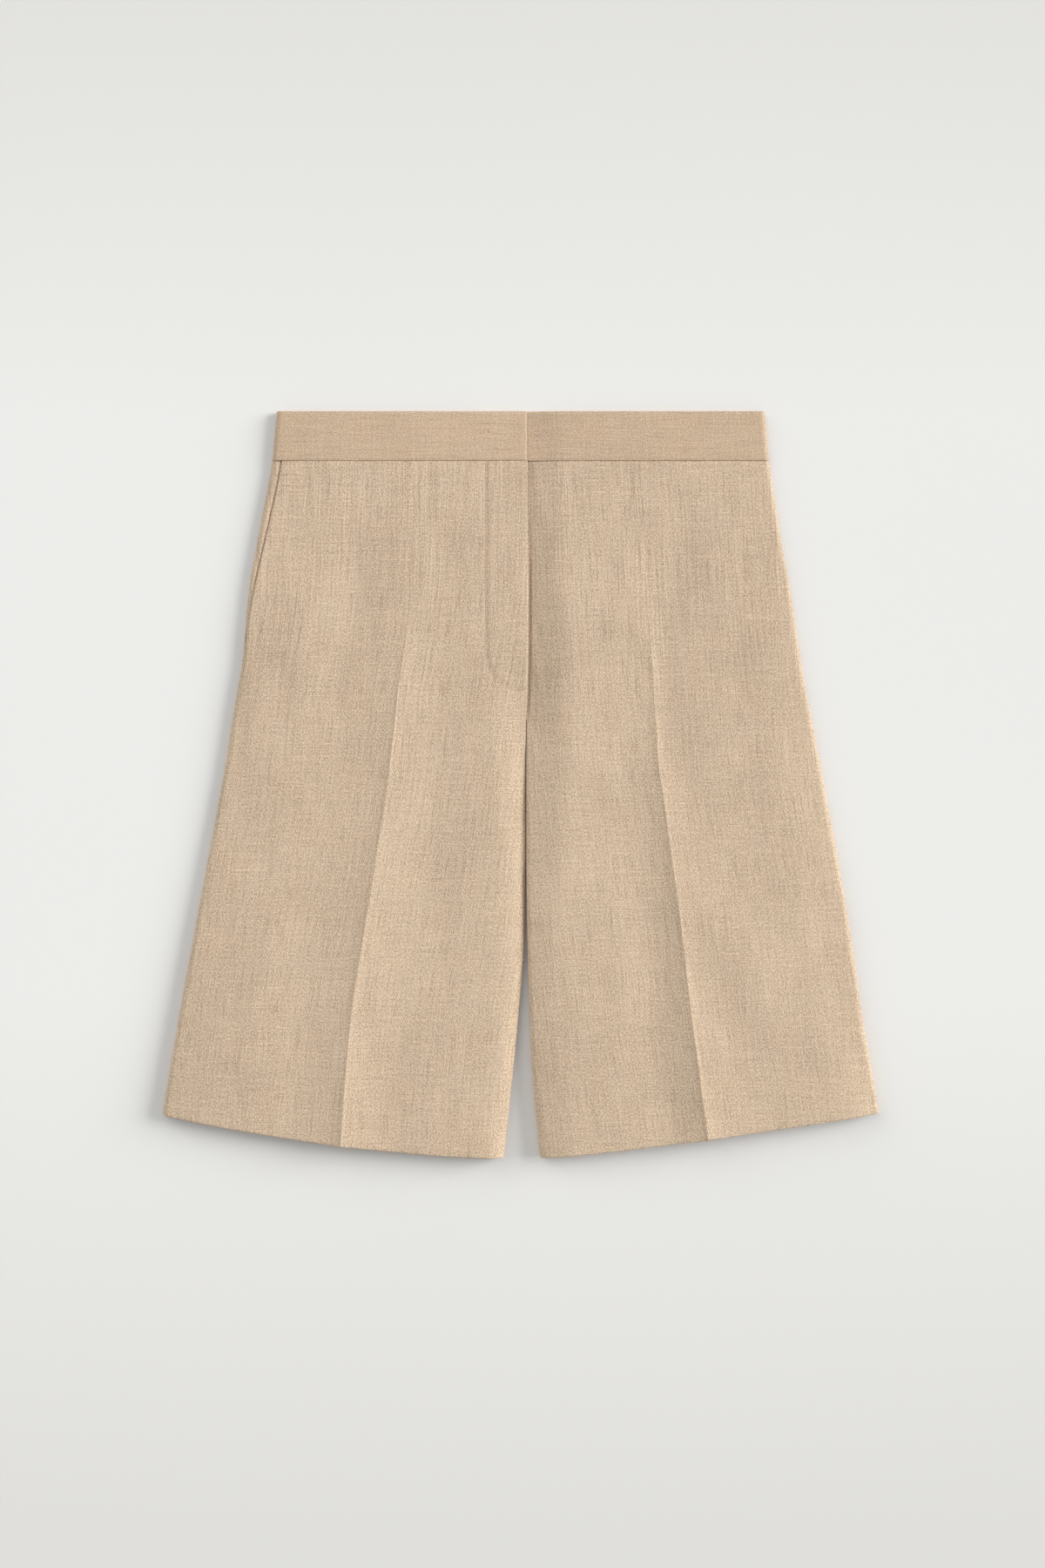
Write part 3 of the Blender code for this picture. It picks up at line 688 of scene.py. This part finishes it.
def leg_sheet(half, surface, line, row_step, up):
    """A front or back: rows to the hem, round the fold and up inside the leg."""
    last = LENGTH - FOLD_RADIUS
    first = PANEL_TOP + ROLL_ARCS
    count = int((last - first[-1]) / row_step)
    nominal = np.concatenate([first, spread(first[-1], last, count), [last]])
    across, down = bent_rows(half, line, nominal)
    face = world(half, across, down, surface(half, across, down))
    normal = normals(face, up)
    outside = face - CLOTH / 2 * normal
    places = [weave_place(half, across, down)]

    fold = []
    radius = FOLD_RADIUS - CLOTH / 2
    axis = face[-1] - FOLD_RADIUS * normal[-1]
    for turn in np.linspace(0, math.pi, FOLD_STEPS + 1)[1:-1]:
        out = math.cos(turn) * normal[-1] - math.sin(turn) * np.array([0, 1, 0])
        fold.append(axis + radius * out)
        places.append(places[0][-1:] + np.array([0, turn * radius * MM]))

    rim = TURN_UP - RIM_ARCS[::-1]
    steps = int(TURN_UP / row_step / TURN_UP_COARSER)
    rise = np.concatenate([[0], spread(0, rim[0], steps), rim])
    across, down = bent_rows(half, line, last - rise)
    inside = face_points(surface, half, across, down, 2 * FOLD_RADIUS - CLOTH / 2, up)
    along = (rise + math.pi * radius)[:, None, None] * np.array([0, MM])
    places.append(places[0][-1:] + along)
    middle = np.concatenate([outside, np.array(fold), inside])
    return Sheet(middle, np.concatenate(places), up)


def with_rims(values, axis):
    """A grid with the rows or columns of its rounded rims put in near two of its ends."""
    values = np.moveaxis(values, axis, 0)
    span = max(np.abs(values[1] - values[0]).max(), 2 * RIM_REACH)
    shares = (RIM_ARCS[1:] / span)[:, None]
    near = values[0] + (values[1] - values[0]) * shares
    far = values[-1] + (values[-2] - values[-1]) * shares
    values = np.concatenate([values[:1], near, values[1:-1], far[::-1], values[-1:]])
    return np.moveaxis(values, 0, axis)


def shaped_sheet(half, surface, starts, ends, bottoms, grid, depth):
    """A piece under a face: its columns run from starts to ends, its rows to bottoms.

    starts and ends are functions of down, bottoms one of the share of the width.
    """
    share = np.linspace(0, 1, grid.columns + 2)
    step = np.linspace(0, 1, grid.rows + 2)[:, None]
    shape = (len(step), len(share))
    down = np.broadcast_to(PANEL_TOP + step * (bottoms(share) - PANEL_TOP), shape)
    start, end = starts(down), ends(down)
    across = np.broadcast_to(start + (end - start) * share, shape)
    for axis in (1, 0):
        across, down = with_rims(across, axis), with_rims(down, axis)
    middle = face_points(surface, half, across, down, depth + CLOTH / 2, 1)
    return Sheet(middle, weave_place(half, across, down), 1)


def always(value):
    """A function that gives this value at every place."""
    return lambda *place: value


def band_rows(count):
    """How far down a waistband's rows lie, as a column."""
    body = spread(RIM_REACH, BAND_DEPTH - RIM_REACH, count)
    return np.concatenate([RIM_ARCS, body, BAND_DEPTH - RIM_ARCS[::-1]])[:, None]


def rolled_side(half, down):
    """The across distances of the columns on a rolled side edge, for each row."""
    return level(half, "outer", down) - inset(ROLL_ARCS, SIDE_ROLL, side_reach(half, 0))[::-1]


def grid_to_side(half, down, start, columns):
    """The across and down distances of a grid from its start to the rolled side edge."""
    at_side = rolled_side(half, down)
    at_start = start + RIM_ARCS + 0 * down
    body = at_start[:, -1:] + (at_side[:, :1] - at_start[:, -1:]) * spread(0, 1, columns)
    across = np.concatenate([at_start, body, at_side], axis=1)
    return across, down + 0 * across


def front_band_sheet(half, start):
    """A front waistband's middle surface, from its start to its rolled side."""
    down = band_rows(BAND_GRID.rows)
    across, down = grid_to_side(half, down, start, BAND_GRID.columns)
    middle = face_points(front_band_height, half, across, down, BAND_CLOTH / 2, 1)
    uv = np.stack([down * MM + BAND_PLACE + half.sign, across * MM], axis=-1)
    return Sheet(middle, uv, 1)


def back_band_sheet():
    """The back waistband's middle surface, from one rolled side to the other."""
    down = band_rows(BACK_BAND_GRID.rows)
    sides = []
    for half in HALVES:
        at_side = rolled_side(half, down)
        body = at_side[:, :1] * spread(0, 1, BACK_BAND_GRID.columns)
        across = np.concatenate([body, at_side], axis=1)
        sides.append(world(half, across, down, side_roll(half, across, down)))
    centre = world(LEFT, 0 * down, down, 0 * down)
    right, left = sides
    face = np.concatenate([right[:, ::-1], centre, left], axis=1)
    middle = face - BAND_CLOTH / 2 * normals(face, -1)
    uv = np.stack([face[..., 1], face[..., 0]], axis=-1) * MM + BACK_BAND_PLACE
    return Sheet(middle, uv, -1)


# ---------------------------------------- materials

class Nodes:
    """A short way to add shader nodes to a material and link them.

    Inputs are named as Blender names them, with _ in place of a space.
    """

    def __init__(self, material):
        material.use_nodes = True
        self.tree = material.node_tree
        self.shader = self.tree.nodes["Principled BSDF"]

    def feed(self, socket, value):
        """Links a socket to another one, or gives it a constant."""
        if isinstance(value, bpy.types.NodeSocket):
            self.tree.links.new(value, socket)
        else:
            socket.default_value = value

    def feed_all(self, node, inputs):
        for name, value in inputs.items():
            self.feed(node.inputs[name.replace("_", " ")], value)

    def surface(self, **inputs):
        """Feeds the material's own shader."""
        self.feed_all(self.shader, inputs)

    def add(self, kind, settings=(), **inputs):
        """A new node with these settings and inputs."""
        node = self.tree.nodes.new(kind)
        for name, value in dict(settings).items():
            setattr(node, name, value)
        self.feed_all(node, inputs)
        return node

    def math(self, operation, first, second=0.0, third=0.0):
        node = self.add("ShaderNodeMath", {"operation": operation})
        for socket, value in zip(node.inputs, (first, second, third)):
            self.feed(socket, value)
        return node.outputs[0]

    def noise(self, layer, x, y):
        """A layer's noise, around zero, at the place x, y."""
        wide, long = self.math("DIVIDE", x, layer.wide), self.math("DIVIDE", y, layer.long)
        place = self.add("ShaderNodeCombineXYZ", X=wide, Y=long)
        made = self.add(
            "ShaderNodeTexNoise", {"noise_dimensions": "2D"},
            Vector=place.outputs[0], Scale=1.0, Detail=layer.detail, Roughness=0.5,
        )
        return self.math("SUBTRACT", made.outputs["Fac"], 0.5)

    def mix(self, factor, first, second):
        """A mix of two colours, by the node's inputs 6 and 7 and output 2, which are for them."""
        node = self.add("ShaderNodeMix", {"data_type": "RGBA"})
        self.feed(node.inputs[0], factor)
        self.feed(node.inputs[6], first)
        self.feed(node.inputs[7], second)
        return node.outputs[2]

    def spread_out(self, value, low, high):
        """Value from low to high brought to 0 to 1 and held there."""
        node = self.add("ShaderNodeMapRange", Value=value, From_Min=low, From_Max=high)
        return node.outputs[0]


WARP_PITCH = 0.9
WEFT_PITCH = 1.35

# How much a yarn over or under another lightens and lifts the cloth; a yarn's roundness lifts it
# too, and lightens it as a painted highlight on the crown, with painted shade where yarns dip
CROSSING_SHADE = 0.30
CROSSING_LIFT = 0.30
ROUND_PAINTED_HIGHLIGHT = 0.35
ROUND_LIFT = 0.50

# One layer of noise in the weave: the size of its patches in millimetres across and down the
# grain, how much finer detail it holds, and how much it lightens and lifts the yarns
Layer = namedtuple("Layer", "wide long detail shade lift", defaults=(0.0, 0.0))
SWAY = 3.0
SWAY_ACROSS = Layer(20, 34, 3)
SWAY_DOWN = Layer(48, 17, 3)
HUE = Layer(17, 33, 2)
HUE_RANGE = (-0.15, 0.15)
HUE_SHARE = 0.16
UNEVEN = (
    Layer(0.9, 46, 1, 0.75, 0.6),
    Layer(38, 1.35, 1, 0.45, 0.4),
    Layer(1.2, 1.4, 1, 2.0, 1.1),
    Layer(2.4, 6, 2, 0.25, 0.0),
    Layer(42, 77, 3, 0.45, 0.0),
)
# Lines down the grain that show most near the waist, how far down in metres they have faded
# out and begin to, and the zones that they show in
WAIST_LINES = Layer(1.5, 80, 1, 0.95, 0.3)
WAIST_LINES_FADE = (0.40, 0.12)
WAIST_ZONE = Layer(60, 90, 1)
WAIST_ZONE_RANGE = (-0.2, 0.1)

# Slubs, the yarns' thick places: patches that begin at a low noise and are full at a high one
Slub = namedtuple("Slub", "wide long detail low high shade")
SLUBS = (
    Slub(1.6, 22, 0, 0.16, 0.30, -0.25),
    Slub(20, 2.0, 0, 0.18, 0.32, 0.14),
)
SLUB_LIFT = 0.45

SHADE_MIDDLE = 0.36
SHADE_RANGE = (-0.1, 1.2)

# A cloth's colours, how strongly its yarns are shaded, and how strong the lines at the waist are
Tone = namedtuple("Tone", "light dark warm cool contrast lines")
SHELL_TONE = Tone(
    (0.816, 0.637, 0.463), (0.388, 0.286, 0.194),
    (0.68, 0.495, 0.355), (0.62, 0.495, 0.37), 1.0, 1.0,
)
BAND_TONE = Tone(
    (0.79, 0.60, 0.425), (0.41, 0.295, 0.195),
    (0.65, 0.47, 0.335), (0.59, 0.465, 0.345), 0.75, 0.35,
)
LINING_TONE = Tone(
    (0.74, 0.63, 0.50), (0.58, 0.48, 0.37),
    (0.70, 0.57, 0.45), (0.64, 0.57, 0.45), 0.4, 0.0,
)
TAPE_TONE = Tone(
    (0.62, 0.48, 0.35), (0.42, 0.31, 0.22),
    (0.56, 0.42, 0.31), (0.50, 0.42, 0.32), 0.6, 0.0,
)
# The thread's colour in the grooves of its twist, where it is painted shade, and on its crowns
THREAD_PAINTED_GROOVE_SHADE = (0.56, 0.42, 0.30, 1.0)
THREAD_LIGHT = (0.74, 0.58, 0.43, 1.0)


def woven(name, tone, pitch=1.0):
    """A matte plain weave with uneven yarns, slubs and mottled colour."""
    material = bpy.data.materials.new(name)
    n = Nodes(material)
    place = n.add("ShaderNodeUVMap", {"uv_map": "weave"})
    split = n.add("ShaderNodeSeparateXYZ", Vector=place.outputs[0])
    x = n.math("MULTIPLY", split.outputs[0], 1 / MM / pitch)
    y = n.math("MULTIPLY", split.outputs[1], 1 / MM / pitch)

    sway, drift = n.noise(SWAY_ACROSS, x, y), n.noise(SWAY_DOWN, x, y)
    x = n.math("MULTIPLY_ADD", sway, SWAY, x)
    y = n.math("MULTIPLY_ADD", drift, SWAY, y)
    over = n.math("SINE", n.math("MULTIPLY", x, math.pi / WARP_PITCH))
    under = n.math("SINE", n.math("MULTIPLY", y, math.pi / WEFT_PITCH))
    crossing = n.math("MULTIPLY", over, under)
    rounded = n.math("SQRT", n.math("ABSOLUTE", crossing))

    # Painted highlight on each yarn's crown and painted shade where it dips, from the yarn's
    # roundness
    shade = n.math("MULTIPLY", rounded, ROUND_PAINTED_HIGHLIGHT)
    shade = n.math("MULTIPLY_ADD", crossing, CROSSING_SHADE, shade)
    height = n.math("MULTIPLY", rounded, ROUND_LIFT)
    height = n.math("MULTIPLY_ADD", crossing, CROSSING_LIFT, height)
    for layer in UNEVEN:
        uneven = n.noise(layer, x, y)
        shade = n.math("MULTIPLY_ADD", uneven, layer.shade, shade)
        height = n.math("MULTIPLY_ADD", uneven, layer.lift, height)

    fade = n.spread_out(split.outputs[1], *WAIST_LINES_FADE)
    zone = n.math("MULTIPLY", fade, n.spread_out(n.noise(WAIST_ZONE, x, y), *WAIST_ZONE_RANGE))
    lines = n.math("MULTIPLY", n.noise(WAIST_LINES, x, y), zone)
    shade = n.math("MULTIPLY_ADD", lines, WAIST_LINES.shade * tone.lines, shade)
    height = n.math("MULTIPLY_ADD", lines, WAIST_LINES.lift * tone.lines, height)

    slubs = [n.spread_out(n.noise(slub, x, y), slub.low, slub.high) for slub in SLUBS]
    for slub, here in zip(SLUBS, slubs):
        shade = n.math("MULTIPLY_ADD", here, slub.shade, shade)
    height = n.math("MULTIPLY_ADD", n.math("ADD", *slubs), SLUB_LIFT, height)
    shade = n.math("MULTIPLY_ADD", shade, tone.contrast, SHADE_MIDDLE)
    shade = n.spread_out(shade, *SHADE_RANGE)

    base = n.mix(shade, (*tone.dark, 1.0), (*tone.light, 1.0))
    hue = n.spread_out(n.noise(HUE, x, y), *HUE_RANGE)
    tint = n.mix(hue, (*tone.warm, 1.0), (*tone.cool, 1.0))
    bump = n.add("ShaderNodeBump", Strength=0.55, Distance=0.00022, Height=height)
    n.surface(
        Base_Color=n.mix(HUE_SHARE, base, tint),
        Roughness=n.math("MULTIPLY_ADD", shade, -0.10, 0.95),
        Specular_IOR_Level=0.25,
        Sheen_Weight=0.18,
        Sheen_Roughness=0.5,
        Sheen_Tint=(1.0, 0.93, 0.84, 1.0),
        Normal=bump.outputs[0],
    )
    return material


def thread_material():
    """Twisted sewing thread, a little lighter than the cloth."""
    material = bpy.data.materials.new("sewing_thread")
    n = Nodes(material)
    place = n.add("ShaderNodeTexCoord")
    ply = n.add(
        "ShaderNodeTexWave", {"bands_direction": "DIAGONAL"},
        Vector=place.outputs["Object"], Scale=1400.0, Distortion=0.5,
    ).outputs["Fac"]
    bump = n.add("ShaderNodeBump", Strength=0.4, Distance=0.0001, Height=ply)
    n.surface(
        # Painted shade in the grooves of the twist: darker where the ply's bump is low
        Base_Color=n.mix(ply, THREAD_PAINTED_GROOVE_SHADE, THREAD_LIGHT),
        Roughness=0.6,
        Normal=bump.outputs[0],
    )
    return material


Stuff = namedtuple("Stuff", "material slot thickness")
SHELL = Stuff(woven("shell_cloth_woven", SHELL_TONE), "shell_cloth", CLOTH)
BAND = Stuff(woven("waistband_cloth_woven", BAND_TONE), "waistband_cloth", BAND_CLOTH)
LINING = Stuff(woven("pocketing_woven", LINING_TONE, pitch=0.5), "pocketing", CLOTH)
TAPE = Stuff(woven("zip_tape_woven", TAPE_TONE, pitch=0.6), "zip_tape", CLOTH)
THREAD = thread_material()


# ---------------------------------------- making the pieces

# The flat cut of each sheet as far as it shows here: its greatest width and length, and its
# area, in metres
Cut = namedtuple("Cut", "width length area")


def make(name, node, sheet, stuff):
    """A piece of cloth in place of a node."""
    piece = cloth(name, sheet, stuff.thickness, stuff.material)
    finish_piece(piece, [node])


def make_panels():
    """The backs and the fronts."""
    for half in HALVES:
        back = leg_sheet(half, back_height, back_line, BACK_ROW_STEP, -1)
        make(f"{half.name}_back", f"back_{half.name}", back, SHELL)
        front = leg_sheet(half, front_height, front_line, FRONT_ROW_STEP, 1)
        make(f"{half.name}_front", f"front_{half.name}", front, SHELL)


def make_bands():
    """The back waistband and the two front ones, the left with its underlap."""
    make("back_waistband", "waistband_back", back_band_sheet(), BAND)
    starts = {"right": float(level(RIGHT, "inner", 0)), "left": -SHIELD_WIDTH}
    for half in HALVES:
        sheet = front_band_sheet(half, starts[half.name])
        name = f"{half.name}_waistband"
        make(name, f"waistband_{half.name}", sheet, BAND)


def make_fly():
    """The fly's facing, its shield and the closed zip."""
    def facing_end(share):
        across = share * (FACING_WIDTH + FACING_PAST_CENTRE) - FACING_PAST_CENTRE
        inside = np.clip(across / FACING_WIDTH, 0.0, 1.0)
        return FACING_TURN + FACING_WIDTH * np.sqrt(1 - inside**2)

    facing = shaped_sheet(
        RIGHT, front_height, lambda down: level(RIGHT, "inner", down), always(FACING_WIDTH),
        facing_end, Grid(60, 28), LAYER,
    )
    make("fly_facing_cloth", "fly_facing", facing, SHELL)

    def shield_end(share):
        past = np.clip((share * SHIELD_WIDTH - SHIELD_WIDTH + SHIELD_ROUND) / SHIELD_ROUND, 0, 1)
        return FLY_END - SHIELD_ROUND + SHIELD_ROUND * np.sqrt(1 - SHIELD_CORNER * past**2)

    shield = shaped_sheet(
        RIGHT, always(LAYER + CLOTH), always(SHIELD_START), always(SHIELD_WIDTH),
        shield_end, Grid(30, 14), 0.0,
    )
    make("fly_shield_cloth", "fly_shield", shield, SHELL)

    start = LAP + SEAM_GAP
    strip = shaped_sheet(
        RIGHT, always(2 * LAYER + CLOTH), always(start), always(start + ZIP_WIDTH),
        always(ZIP_END), Grid(24, 8), 0.0,
    )
    make("fly_zip_tape", "fly_zip", strip, TAPE)


def make_pockets():
    """The side piece that shows past the right pocket's mouth, and both pocket bags."""
    def mouth(down):
        return level(RIGHT, "outer", down) - mouth_inset(RIGHT, down)

    top = PANEL_TOP + ROLL_ARCS
    rows = spread(top[-1], SIDE_PIECE_END - 2 * RIM_REACH, SIDE_PIECE_GRID.rows)
    down = np.concatenate([top, rows, SIDE_PIECE_END - RIM_ARCS[::-1]])[:, None]
    start = mouth(down) - SIDE_PIECE_TUCK
    across, down = grid_to_side(RIGHT, down, start, SIDE_PIECE_GRID.columns)
    beside = rising(across - mouth(down), POCKET_RISE_RUN)
    beside = beside * rising(MOUTH_END - down, POCKET_RISE_END)
    sunk = LAYER + CLOTH / 2 - POCKET_RISE * beside
    middle = face_points(front_height, RIGHT, across, down, sunk[..., None], 1)
    side = Sheet(middle, weave_place(RIGHT, across, down), 1)
    make("pocket_side_cloth", "pocket_side_right", side, SHELL)

    def bag_end(share):
        return BAG_BOTTOM - BAG_ROUND * np.abs(2 * share - 1) ** BAG_ROUND_POWER

    outer_end = {
        "right": lambda down: mouth(down) - BAG_FROM_MOUTH,
        "left": lambda down: level(LEFT, "outer", down) - BAG_FROM_SEAM,
    }
    for half in HALVES:
        bag = shaped_sheet(
            half, front_height,
            lambda down, half=half: level(half, "crease", down) - BAG_FROM_CREASE,
            outer_end[half.name], bag_end, Grid(100, 44), LAYER,
        )
        name = f"{half.name}_pocket_bag"
        make(name, f"pocket_bag_{half.name}", bag, LINING)


# ---------------------------------------- sewing

STITCH = 2.5
STITCH_GAP = 0.45
STITCHES_BELOW_SEAM = 1.0
J_STEPS = 60
THREAD_RADIUS = 0.2
THREAD_SIDES = 6
THREAD_RINGS = 5
# How high the middle of a stitch lies and how much lower its ends are, in radii of its thread
STITCH_HEIGHT = 0.75
STITCH_SINK = 1.9
STITCH_SINK_POWER = 4

TACK_LENGTH = 6.0
TACK_STITCHES = 13
TACK_SLANT = 0.2
FLY_TACK = (3.4, J_END - 0.6)
FLY_TACK_WIDTH = 1.4
POCKET_TACK_DOWN = 48.0
POCKET_TACK_INSIDE = 3.6
POCKET_TACK_WIDTH = 1.3


def sew(name, stitches):
    """Stitches on the right front, each from one place to another, sunk in at both ends."""
    share = np.linspace(0, 1, THREAD_RINGS)
    turn = np.linspace(0, 2 * math.pi, THREAD_SIDES, endpoint=False)[:, None]
    sunk = STITCH_SINK * (2 * share - 1) ** STITCH_SINK_POWER
    lift = THREAD_RADIUS * (STITCH_HEIGHT - sunk)
    vertices, faces = [], []
    for start, end in np.array(stitches, float):
        across, down = (start + (end - start) * share[:, None]).T
        centre = world(RIGHT, across, down, front_height(RIGHT, across, down) + lift)
        aside = np.cross(centre[-1] - centre[0], [0, 0, 1])
        aside = aside / np.linalg.norm(aside)
        ring = np.cos(turn) * aside + np.sin(turn) * np.array([0, 0, 1])
        first = len(vertices) * THREAD_RINGS * THREAD_SIDES
        index = first + np.arange(THREAD_RINGS * THREAD_SIDES).reshape(THREAD_RINGS, -1)
        index = np.concatenate([index, index[:, :1]], axis=1)
        faces.append(faces_of_grid(index)[:, ::-1])
        vertices.append((centre[:, None, :] + THREAD_RADIUS * ring).reshape(-1, 3))
    piece = add_mesh(name, np.concatenate(vertices), np.concatenate(faces), THREAD)
    finish_piece(piece)


def j_path():
    """Places along the fly's sewn line, from the waistband round to its edge."""
    straight = np.linspace(PANEL_TOP + STITCHES_BELOW_SEAM, J_TURN, J_STEPS)
    turn = np.linspace(0, math.pi / 2, J_STEPS)[1:]
    across = J_ACROSS * np.cos(turn) ** (2 / J_POWER)
    down = J_TURN + (J_END - J_TURN) * np.sin(turn) ** (2 / J_POWER)
    across = np.concatenate([np.full(J_STEPS, J_ACROSS), across])
    return np.stack([across, np.concatenate([straight, down])], axis=-1)


def stitches_along(path):
    """Starts and ends of even stitches along a path."""
    reach = np.concatenate([[0], np.cumsum(np.linalg.norm(np.diff(path, axis=0), axis=1))])
    starts = np.arange(0, reach[-1] - STITCH, STITCH)[:, None]
    ends = starts + [STITCH_GAP / 2, STITCH - STITCH_GAP / 2]
    return np.stack([np.interp(ends, reach, column) for column in path.T], axis=-1)


def tack(across, down, width):
    """A bar tack: close zigzag stitches side by side."""
    places = np.linspace(across - TACK_LENGTH / 2, across + TACK_LENGTH / 2, TACK_STITCHES)
    return [((x, down - width / 2), (x + TACK_SLANT, down + width / 2)) for x in places]


def make_sewing():
    """The fly's J stitching, and the tacks at its end and at the pocket's mouth."""
    sew("fly_stitching", stitches_along(j_path()))
    sew("fly_tack", tack(*FLY_TACK, FLY_TACK_WIDTH))
    down = POCKET_TACK_DOWN
    mouth = float(level(RIGHT, "outer", down) - mouth_inset(RIGHT, down))
    sew("pocket_tack", tack(mouth - POCKET_TACK_INSIDE, down, POCKET_TACK_WIDTH))


# ---------------------------------------- stage, light and camera

# In metres: the photo's long side on the ground, and where the camera is above it
PHOTO_SIDE = 1.188
CAMERA_HEIGHT = 2.1
CAMERA_AT = (0.0013, 0.0003, CAMERA_HEIGHT)
SENSOR = 36.0

# The ground is faintly mottled, and painted shade makes it greyer away from its middle, towards
# both its ends in Y.
GROUND_REACH = 4.0
GROUND_DROP = 0.0002
GROUND_COLOURS = ((0.83, 0.83, 0.815, 1.0), (0.86, 0.858, 0.845, 1.0))
GROUND_PAINTED_SHADE_COLOUR = (0.745, 0.74, 0.715, 1.0)
GROUND_MIDDLE = 0.06
GROUND_PAINTED_SHADE = (0.22, 0.62)


def make_stage():
    """The pale surface that the shorts lie on."""
    mesh = bpy.data.meshes.new("ground")
    corners = [(-1, -1), (1, -1), (1, 1), (-1, 1)]
    points = [(x * GROUND_REACH, y * GROUND_REACH, -GROUND_DROP) for x, y in corners]
    mesh.from_pydata(points, [], [(0, 1, 2, 3)])
    ground = add_object("ground", mesh)
    material = bpy.data.materials.new("pale_ground")
    n = Nodes(material)
    place = n.add("ShaderNodeTexCoord").outputs["Object"]
    cloud = n.add("ShaderNodeTexNoise", Vector=place, Scale=1.2, Detail=2.0)
    split = n.add("ShaderNodeSeparateXYZ", Vector=place)
    from_middle = n.math("ABSOLUTE", n.math("ADD", split.outputs[1], -GROUND_MIDDLE))
    near = n.mix(cloud.outputs["Fac"], *GROUND_COLOURS)
    # Painted shade: the ground greys from its middle towards both ends in Y
    far = n.spread_out(from_middle, *GROUND_PAINTED_SHADE)
    n.surface(Base_Color=n.mix(far, near, GROUND_PAINTED_SHADE_COLOUR), Roughness=0.85)
    mesh.materials.append(material)


FILL_COLOUR = (0.98, 0.99, 1.0, 1.0)
FILL_STRENGTH = 0.40
WARM_LIGHT = (1.0, 0.99, 0.97)
Sun = namedtuple("Sun", "name azimuth elevation spread strength")
SUNS = (
    Sun("key", 14, 23, 34, 3.1),
    Sun("side_light", 145, 32, 60, 1.0),
)
OVERHEAD_HEIGHT = 2.2
OVERHEAD_SIZE = 1.8
OVERHEAD_POWER = 3.0


def make_light():
    """An even fill, two soft suns and a weak round light overhead."""
    world_light = bpy.data.worlds.new("studio")
    world_light.use_nodes = True
    background = world_light.node_tree.nodes["Background"]
    background.inputs["Color"].default_value = FILL_COLOUR
    background.inputs["Strength"].default_value = FILL_STRENGTH
    bpy.context.scene.world = world_light

    for sun in SUNS:
        azimuth, elevation = math.radians(sun.azimuth), math.radians(sun.elevation)
        towards = Vector((
            math.cos(azimuth) * math.cos(elevation),
            math.sin(azimuth) * math.cos(elevation),
            math.sin(elevation),
        ))
        data = bpy.data.lights.new(sun.name, "SUN")
        data.angle = math.radians(sun.spread)
        data.energy = sun.strength
        data.color = WARM_LIGHT
        lamp = add_object(sun.name, data)
        lamp.rotation_euler = (-towards).to_track_quat("-Z", "Y").to_euler()

    data = bpy.data.lights.new("overhead", "AREA")
    data.shape = "DISK"
    data.size = OVERHEAD_SIZE
    data.energy = OVERHEAD_POWER
    add_object("overhead", data).location = (0, 0, OVERHEAD_HEIGHT)


def make_camera():
    """The camera straight above, as in the photo."""
    data = bpy.data.cameras.new("camera")
    data.sensor_width = SENSOR
    data.lens = SENSOR * CAMERA_HEIGHT / PHOTO_SIDE
    data.clip_start = 0.05
    camera = add_object("camera", data)
    camera.location = CAMERA_AT
    bpy.context.scene.camera = camera


make_panels()
make_bands()
make_fly()
make_pockets()
make_sewing()
make_stage()
make_light()
make_camera()
bpy.context.scene.view_settings.view_transform = "Standard"
